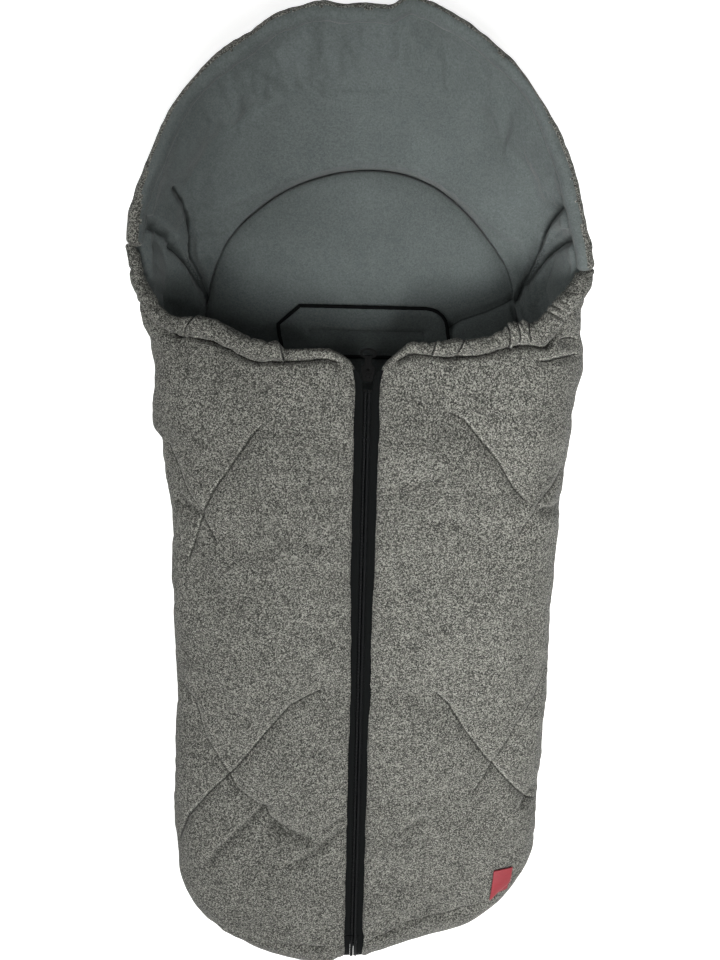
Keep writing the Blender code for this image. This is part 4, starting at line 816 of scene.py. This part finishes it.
def front_seams(lines):
    """Each quilting seam is a narrow valley with puckers along both sides. The third family has the valley under the
    roll, the hem, and the creases, which are broad and fade out at the edges. Painted shade darkens every valley, most
    under the roll."""
    def groove(place, gap):
        sink = 0.0
        offsets, strengths = [], []
        third = painted_under_roll_shade if place.y > 0.12 else painted_hem_shade if place.y < -0.37 else painted_crease_shade
        for family, depth, shade in zip(lines, seam_depths, painted_seam_shades + (third,)):
            across, distance, along = nearest_line(place, family, upright=True)
            crease = shade == painted_crease_shade
            width = 0.0060 if crease else 0.0030
            fade = smooth(gap / 0.020) if shade <= painted_hem_shade else 1.0
            sink -= depth * fade * math.exp(-((distance / width) ** 2))
            pucker = noise.noise(Vector((along / 0.011, depth * 900.0, 0.0)))
            sink += 0.0013 * pucker * math.exp(-(((distance - 0.005) / 0.006) ** 2))
            offsets.append(across * 0.35 if crease else across)
            strengths.append(shade * smooth(1.0 - distance / (width * 2.6)))
        sink += wobble(place, 0.035, 0.0014) + wobble(place, 0.012, 0.0004)
        sink -= 0.0036 * max(0.0, 1.0 - gap / 0.006) ** 2
        return sink, Vector(offsets), Vector(strengths)
    return groove


fold_foot = Vector((0.0145, -0.430, 0.1026))
fold_mouth = Vector((0.160, 0.2061, 0.1026))
fold_run = (fold_mouth - fold_foot).normalized()


def fold_between(piece, side_name, side):
    """The cloth turns over a band beside the fold line, from the fixed side to the leaf."""
    to_zip = Vector((-fold_run.y * side, fold_run.x, 0.0))
    foot = Vector((fold_foot.x * side, fold_foot.y, fold_foot.z))
    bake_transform(piece, "back", f"{side_name}_leaf", start=foot + to_zip * 0.002, end=foot + to_zip * 0.022)


fronts = {}
for side_name, side in both_sides:
    lines = quilting[side_name][:2] + (quilting[side_name][2] + (under_rolls[side_name],),)
    front = cut_sheet(f"{side_name}_front", 50, 168, front_face(side, lines))
    if front.data.polygons[2000].normal.z < 0.0:
        front.data.flip_normals()
    swell(front, 1.0, 0.010, 0.007)
    finish_panel(front, front_seams(lines), melange, fleece)
    lay_down(front)
    fold_between(front, side_name, side)
    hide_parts(*[f"{side_name}_{part}_{layer}" for part in ("side", "leaf")
                         for layer in ("outer", "wadding", "liner")])
    fronts[side_name] = front


# Hood rim: the lining is turned out over the elastic and sewn down again, so the rim is a
# gathered roll, fleece on the dish's side and melange on the outside.
def rolled_edge(along, around, centre, reach, fold_line=None):
    """A closed tube. centre gives its middle, outward and upward directions at a share of its
    length, and reach how far its cloth stands from the middle at a share and a turn."""
    tube = bmesh.new()
    bmesh.ops.create_grid(tube, x_segments=along, y_segments=around, size=0.5)
    offset = tube.verts.layers.float_vector.new("seam_offset")
    strength = tube.verts.layers.float_vector.new("painted_shade_strength")
    for vert in tube.verts:
        share, turn = vert.co.x + 0.5, 2.0 * math.pi * (vert.co.y + 0.5)
        # Painted shade along the edges where the cloth folds over itself
        if fold_line:
            away = fold_line(share, turn)
            vert[offset] = Vector((away, 0.0, 0.0))
            vert[strength] = Vector((smooth(1.0 - abs(away) / 0.006), 0.0, 0.0))
        middle, out, up = centre(share)
        vert.co = middle + (out * math.cos(turn) + up * math.sin(turn)) * reach(share, turn)
    bmesh.ops.remove_doubles(tube, verts=tube.verts[:], dist=1e-6)
    bmesh.ops.recalc_face_normals(tube, faces=tube.faces[:])
    return tube


def rounded_end(share, taper):
    """The tube closes in a half round over the last share of its length at both ends."""
    left = min(share, 1.0 - share) / taper
    return math.sqrt(max(0.0, 1.0 - (1.0 - min(left, 1.0)) ** 2))


def rim_centre(share):
    u = 0.17 + 1.63 * share
    out = hood_normal(u, 0.999)
    out.z = 0.0
    out.normalize()
    middle = hood_wall(u, 1.0) - out * (wall / 2.0)
    return middle + Vector((0.0, 0.0, 0.0090)), out, Vector((0.0, 0.0, 1.0))


def rim_reach(share, turn):
    gathers = noise.noise(Vector((share * 58.0, math.cos(turn), math.sin(turn))))
    fine = noise.noise(Vector((share * 150.0 + 3.0, math.cos(turn) * 1.5, math.sin(turn) * 1.5)))
    return 0.0079 * (1.0 + 0.10 * gathers + 0.05 * fine) * rounded_end(share, 0.010)


tube = rolled_edge(420, 20, rim_centre, rim_reach)
for face in tube.faces:
    middle = face.calc_center_median()
    from_head = Vector((middle.x, middle.y - hood_centre_y, 0.0)).normalized()
    turned_out = 0.30 - 1.0 * smooth((0.350 - middle.y) / 0.045) * (1.0 if middle.x < 0.0 else 0.2)
    if face.normal.dot(from_head) > turned_out:
        face.material_index = 1
hood_roll = object_from(tube, "hood_rim_roll", fleece, melange)
lay_down(hood_roll)
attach(hood_roll, "back")
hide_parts("hood_rim")

elastic = object_from(rolled_edge(160, 10, rim_centre, lambda share, turn: 0.0028 * rounded_end(share, 0.01)),
                      "elastic_in_the_rim")
lay_down(elastic)
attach(elastic, "back")
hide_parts("hood_elastic")


# Collars: the front's upper edge is rolled over an elastic and sewn down, so the melange
# bunches into a wrinkled roll, fat where it is folded twice and thin beside the zip.
# Where the cloth is folded over itself: share of the roll's length and the fold's slant
overlaps = {"left": ((0.232, 0.010), (0.597, -0.016)), "right": ((0.172, 0.008), (0.283, 0.020), (0.495, 0.016),
                                                                 (0.545, 0.018), (0.600, 0.020))}

for side_name, side in both_sides:

    def collar_centre(share):
        middle, out, radius = roll_at(side_name, share)
        return Vector((middle.x * side, middle.y, middle.z)), Vector((out.x * side, out.y, 0.0)), Vector((0, 0, 1))

    def nearest_overlap(share, turn):
        """Distance in metres along the roll to the nearest fold's edge."""
        away = [share - at - slant * math.cos(turn) for at, slant in overlaps[side_name]]
        return min(away, key=abs) * edge_lengths[side_name][-1]

    def collar_reach(share, turn):
        at, slant = min(overlaps[side_name], key=lambda fold: abs(share - fold[0]))
        near = math.exp(-(((share - at) / 0.05) ** 2))
        radius = profile_at(roll_profiles[side_name], min(max(share - slant * math.cos(turn) * near, 0.0), 1.0))
        way = share * edge_lengths[side_name][-1]
        ring = Vector((math.cos(turn), math.sin(turn), 0.0))
        bulge = noise.noise(Vector((way / 0.020 + side * 7.0, ring.x * 0.9, ring.y * 0.9)))
        phase = way / 0.0042 + ring.x * 0.9 + noise.noise(Vector((way / 0.03, side, 2.0))) * 4.0
        crease = 1.0 - abs(math.sin(phase)) ** 0.5
        deep = max(0.0, 0.35 + 1.1 * noise.noise(Vector((way / 0.013, side * 3.0 + ring.y * 0.7, 5.0 + ring.x * 0.7))))
        fine = noise.noise(Vector((way / 0.0045, ring.x * 2.2, ring.y * 2.2)))
        shape = 1.0 + 0.15 * bulge - 0.44 * deep * crease + 0.08 * fine
        shape -= 0.16 * math.exp(-((nearest_overlap(share, turn) / 0.0018) ** 2))
        return radius * shape * rounded_end(share, 0.018)

    tube = rolled_edge(480, 36, collar_centre, collar_reach, nearest_overlap)
    collar = object_from(tube, f"{side_name}_collar_roll", melange)
    lay_down(collar)
    fold_between(collar, side_name, side)
    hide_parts(f"{side_name}_side_collar", f"{side_name}_leaf_collar")


# Slot facing: an eight-sided patch of fleece, edged with near-black binding and sewn over the
# slit for the harness straps. The slit's soft lips close it until straps are pushed through.
def small_part(name, shades, spots_mm, detail, crispness, roughness, specular, relief=0.0, mixed=None,
               sheen=0.0, attribute=None):
    """The finish of a small part: two shades in spots of some size along X, Y and Z, in relief
    where it is woven. A rubbed part has mixed, the spots' range that shows its paler shade, and
    a range of roughness."""
    material, output = new_material(name)
    if attribute:
        place = add_node(material, "ShaderNodeAttribute", attribute_name=attribute).outputs["Vector"]
    else:
        place = add_node(material, "ShaderNodeTexCoord").outputs["Object"]
    place = add_node(material, "ShaderNodeMapping",
                     {"Vector": place, "Scale": tuple(1000.0 / size for size in spots_mm)}).outputs[0]
    spots = add_node(material, "ShaderNodeTexNoise",
                     {"Vector": place, "Scale": 1.0, "Detail": detail, "Roughness": crispness}).outputs["Fac"]
    share = spots
    if mixed:
        share = add_node(material, "ShaderNodeMapRange",
                         {"Value": spots, "From Min": mixed[0], "From Max": mixed[1]}).outputs[0]
        roughness = add_node(material, "ShaderNodeMapRange",
                             {"Value": spots, "From Min": 0.3, "From Max": 0.7, "To Min": roughness[0],
                              "To Max": roughness[1]}).outputs[0]
    colour = add_node(material, "ShaderNodeMixRGB", {0: share, 1: linear(shades[0]), 2: linear(shades[1])})
    shader = add_node(material, "ShaderNodeBsdfPrincipled",
                      {"Base Color": colour.outputs[0], "Roughness": roughness, "Specular IOR Level": specular,
                       "Sheen Weight": sheen})
    if relief:
        bump = add_node(material, "ShaderNodeBump", {"Height": spots, "Strength": relief, "Distance": 0.0003})
        material.node_tree.links.new(bump.outputs["Normal"], shader.inputs["Normal"])
    material.node_tree.links.new(shader.outputs[0], output.inputs["Surface"])
    return material


def refinish(material, *nodes):
    """Solids that show as they were cut get their real finish."""
    for name in nodes:
        for slot_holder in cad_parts[name].material_slots:
            slot_holder.material = material


def give_thickness(cloth_piece, thickness):
    """A flat piece gets its underside and its edge."""
    grown = bmesh.ops.extrude_face_region(cloth_piece, geom=cloth_piece.faces[:], use_keep_orig=True)
    for item in grown["geom"]:
        if isinstance(item, bmesh.types.BMVert):
            item.co.z -= thickness
    bmesh.ops.recalc_face_normals(cloth_piece, faces=cloth_piece.faces[:])


# Ribbed polyester tape, nearly black and quite matt
binding = small_part("polyester_grosgrain_binding", ("#040505", "#0b0c0d"), (0.9, 0.9, 0.9), 2.0, 0.6, 0.85, 0.08,
                     relief=0.5)

facing_half_width = 0.091
facing_half_depth = 0.025
facing_top = 0.0172
facing_thickness = 0.0016
edging_radius = 0.0018


def facing_reach(side, y):
    """From the facing's middle to its left or right edge. The upper left corner is cut off,
    the upper right one is rounded, and the lower ones are nearly square."""
    share = max(0.0, (abs(y) - 0.006) / 0.019)
    if side < 0.0:
        return facing_half_width - (0.022 if y > 0.0 else 0.004) * share
    if y > 0.0:
        share = 1.0 - math.sqrt(max(0.0, 1.0 - share * share))
    return 0.945 * facing_half_width - (0.024 if y > 0.0 else 0.004) * share


patch = bmesh.new()
bmesh.ops.create_grid(patch, x_segments=120, y_segments=36, size=0.5)
offset = patch.verts.layers.float_vector.new("seam_offset")
strength = patch.verts.layers.float_vector.new("painted_shade_strength")
for vert in patch.verts:
    down, along = vert.co.y * 2.0, vert.co.x * 2.0
    y = down * facing_half_depth
    x = along * facing_reach(along, y)
    edge = min(facing_half_depth - abs(y), facing_reach(along, y) - abs(x))
    puff = 0.0016 * (1.0 - math.exp(-((edge / 0.006) ** 2))) + 0.0010 * noise.noise(Vector((x / 0.04, y / 0.02, 1.0)))
    lip = math.exp(-((y / 0.0034) ** 2)) * smooth((0.066 - abs(x)) / 0.008)
    vert.co = Vector((x, slot_y + y, facing_top - facing_thickness + puff - 0.0030 * lip))
    vert[offset] = Vector((y, 0.0, 0.0))
    # Painted shade along the slit
    vert[strength] = Vector((smooth((0.062 - abs(x)) / 0.006) * smooth(1.0 - abs(y) / 0.006), 0.0, 0.0))
slit = [face for face in patch.faces if abs(face.calc_center_median().y - slot_y) < 0.0010
        and abs(face.calc_center_median().x) < 0.058]
bmesh.ops.delete(patch, geom=slit, context="FACES")
for vert in patch.verts:
    if vert.is_boundary and abs(vert.co.x) < 0.0595 and abs(vert.co.y - slot_y) < 0.003:
        upper = vert.co.y > slot_y
        vert.co.y = slot_y + (-0.0016 if upper else 0.0010)
        vert.co.z -= 0.0024 if upper else 0.0
give_thickness(patch, facing_thickness)
facing = object_from(patch, "harness_slot_facing", fleece)
lay_down(facing)
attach(facing, "back")
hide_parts("slot_facing")

corners = [(facing_reach(1.0, y), y) for y in (-0.025, -0.006, 0.006, 0.013, 0.018, 0.0215, 0.0238, 0.0250)]
corners += [(-facing_reach(-1.0, y), y) for y in (0.025, 0.006, -0.006, -0.025)]
outline = []
for number, (ax, ay) in enumerate(corners):
    bx, by = corners[(number + 1) % len(corners)]
    pieces_here = max(1, round(math.hypot(bx - ax, by - ay) / 0.003))
    for step in range(pieces_here):
        share = step / pieces_here
        outline.append(Vector((ax + (bx - ax) * share, slot_y + ay + (by - ay) * share, facing_top - 0.0012)))


def edging_centre(share):
    number = round(share * len(outline)) % len(outline)
    run = (outline[(number + 1) % len(outline)] - outline[number - 1]).normalized()
    return outline[number], Vector((run.y, -run.x, 0.0)), Vector((0.0, 0.0, 1.0))


def edging_reach(share, turn):
    return edging_radius * (1.0 + 0.15 * noise.noise(edging_centre(share)[0] / 0.008))


facing_edge = object_from(rolled_edge(len(outline), 8, edging_centre, edging_reach), "harness_slot_edging", binding)
lay_down(facing_edge)
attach(facing_edge, "back")
refinish(binding, "slot_binding")
elastic.data.materials.append(binding)


# Zip tapes: black polyester tape woven in fine lengthwise ribs, sewn under the cloth's edge.
# Its ribs are 0.6 mm apart; they are drawn at 1 mm.
tape = small_part("woven_polyester_zip_tape", ("#070808", "#101212"), (1.0, 2.4, 2.4), 2.0, 0.5, 0.9, 0.08,
                  relief=0.6)
refinish(tape, "left_zip_tape", "right_zip_tape")

zip_top_y = 0.1545
zip_level = 0.0987
zip_end_level = 0.0520
foot_reach = 0.0440
foot_turn_length = 0.0470
straight_length = 0.5840        # from the top stop: the rows on the leaves, all rows, and the tape
rows_length = 0.6600
tape_length = 0.6668
foot_shift = as_it_lies(Vector((0.0, foot_corner_y, 0.0))).y - foot_corner_y


def zip_path(way):
    """Along the zip from the top stop: level first, then down over the foot's rounding.
    Gives a point and the direction that points out of the bag."""
    level = zip_top_y - foot_corner_y
    if way < level:
        return Vector((0.0, zip_top_y - way, zip_level)), Vector((0.0, 0.0, 1.0))
    turn = min((way - level) / foot_turn_length, quarter_turn)
    out = Vector((0.0, -math.sin(turn), math.cos(turn)))
    return Vector((0.0, foot_corner_y + foot_reach * out.y,
                   zip_end_level + (zip_level - zip_end_level) * out.z)), out


for side_name, side in both_sides:
    strip = bmesh.new()
    bmesh.ops.create_cube(strip, size=1.0)
    lengthwise = [edge for edge in strip.edges if abs(edge.verts[0].co.y - edge.verts[1].co.y) > 0.5]
    bmesh.ops.subdivide_edges(strip, edges=lengthwise, cuts=47)
    for vert in strip.verts:
        share = vert.co.y + 0.5
        point, out = zip_path((straight_length + 0.0008 + foot_shift) * (1.0 - share) + tape_length * share)
        across = 0.00835 + 0.0093 * vert.co.x
        vert.co = as_it_lies(point + Vector((across * side, 0.0, 0.0)) + out * 0.0008 * vert.co.z)
    bmesh.ops.recalc_face_normals(strip, faces=strip.faces[:])
    foot_tape = object_from(strip, f"{side_name}_foot_tape_woven", tape, flat=True)
    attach(foot_tape, "back")
    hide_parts(f"{side_name}_foot_tape")


# Coil rows: nylon monofilament wound into loops 1.5 mm apart and sewn along each tape's edge.
# The loops of the two rows lie in each other's gaps. Moulded nylon gives a soft black shine.
coil = small_part("nylon_monofilament_coil", ("#08090a", "#151718"), (2.5, 2.5, 2.5), 2.0, 0.6, (0.45, 0.60), 0.12,
                  mixed=(0.0, 1.0))

loop_pitch = 0.0015


def coil_row(name, side, first, last):
    """One loop of the coil, seen as a short rounded bar, repeated along the zip's path. Over the
    foot the rows lie as the cloth beside them does."""
    row = bmesh.new()
    way = first
    while way < last:
        point, out = zip_path(way)
        run = Vector((0.0, -out.z, out.y))
        loop = bmesh.ops.create_cube(row, size=1.0)["verts"]
        for vert in loop:
            across = 0.0019 + vert.co.x * 0.0031 * (1.0 - 0.2 * abs(vert.co.z * 2.0))
            lift = vert.co.z * 0.0024 * (0.62 if vert.co.x < 0.0 else 1.0)
            vert.co = point + Vector((across * side, 0.0, 0.0)) + run * vert.co.y * 0.00125 + out * lift
            if first > straight_length:
                vert.co = as_it_lies(vert.co)
        edges = {edge for vert in loop for edge in vert.link_edges}
        bmesh.ops.bevel(row, geom=list(edges), offset=0.00038, offset_type="OFFSET", segments=1, profile=0.5,
                        affect="EDGES", material=-1)
        way += loop_pitch
    bmesh.ops.recalc_face_normals(row, faces=row.faces[:])
    return object_from(row, name, coil)


for side_name, side in both_sides:
    shift = 0.0 if side > 0.0 else loop_pitch / 2.0
    straight = coil_row(f"{side_name}_coil", side, shift, straight_length)
    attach(straight, f"{side_name}_leaf")
    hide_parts(f"{side_name}_zip_row")
    over_foot = coil_row(f"{side_name}_foot_coil", side, straight_length + foot_shift + shift + loop_pitch / 2.0,
                         rows_length)
    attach(over_foot, "back")
    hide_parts(f"{side_name}_foot_row")


# Slider, pull tab and stops: die-cast zinc in baked black enamel, rubbed a little in spots and smoother than the coil.
# The bottom stop is crimped round both rows at the foot.
enamel = small_part("black_enamelled_zinc", ("#040404", "#0f1111"), (3.0, 3.0, 3.0), 3.0, 0.65, (0.26, 0.40), 0.05,
                    mixed=(0.55, 0.75))
refinish(enamel, "slider_body", "pull_tab", "left_top_stop", "right_top_stop")

bar = bmesh.new()
bmesh.ops.create_cube(bar, size=1.0)
for vert in bar.verts:
    vert.co = as_it_lies(Vector((vert.co.x * 0.0068, -0.4834 + vert.co.y * 0.0038, 0.0518 + vert.co.z * 0.0030)))
bmesh.ops.bevel(bar, geom=bar.edges[:], offset=0.0006, offset_type="OFFSET", segments=2, profile=0.5,
                affect="EDGES", material=-1)
stop = object_from(bar, "bottom_stop_crimped", enamel, flat=True)
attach(stop, "back")
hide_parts("bottom_stop")


# Label: a folded tab of red woven polyester, sewn into the side seam and lying on the cloth.
# Its satin face has fine crosswise ribs, drawn at 1.1 mm, and it is left plain.
label_red = small_part("woven_polyester_label", ("#730f19", "#901727"), (4.0, 1.1, 4.0), 2.0, 0.5, 0.6, 0.5,
                       relief=0.5, sheen=0.1, attribute="rest_place")

label_corners = (Vector((0.1420, -0.3810)), Vector((0.1627, -0.3720)), Vector((0.1650, -0.3400)),
                 Vector((0.1443, -0.3420)))
tab = bmesh.new()
bmesh.ops.create_grid(tab, x_segments=14, y_segments=24, size=0.5)
front_mesh = fronts["right"]
for vert in tab.verts:
    a, b = vert.co.x + 0.5, vert.co.y + 0.5
    low = label_corners[0].lerp(label_corners[1], a)
    high = label_corners[3].lerp(label_corners[2], a)
    flat = low.lerp(high, b)
    hit, spot, normal, _ = front_mesh.ray_cast(Vector((flat.x, flat.y, 0.2)), Vector((0.0, 0.0, -1.0)))
    spot = spot if hit else Vector((flat.x, flat.y, 0.09))
    away = (normal if hit else Vector((0.0, 0.0, 1.0))).lerp(Vector((0.3, -0.3, 1.0)), 0.5).normalized()
    vert.co = spot + away * (0.0022 + 0.0004 * noise.noise(Vector((a * 3.0, b * 4.0, 0.0))))
for _ in range(2):
    bmesh.ops.smooth_vert(tab, verts=tab.verts[:], factor=0.3, use_axis_x=True, use_axis_y=True, use_axis_z=True)
give_thickness(tab, 0.0010)
rest = tab.verts.layers.float_vector.new("rest_place")
for vert in tab.verts:
    vert[rest] = vert.co
label = object_from(tab, "side_label", label_red)
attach(label, "back")
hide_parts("label")
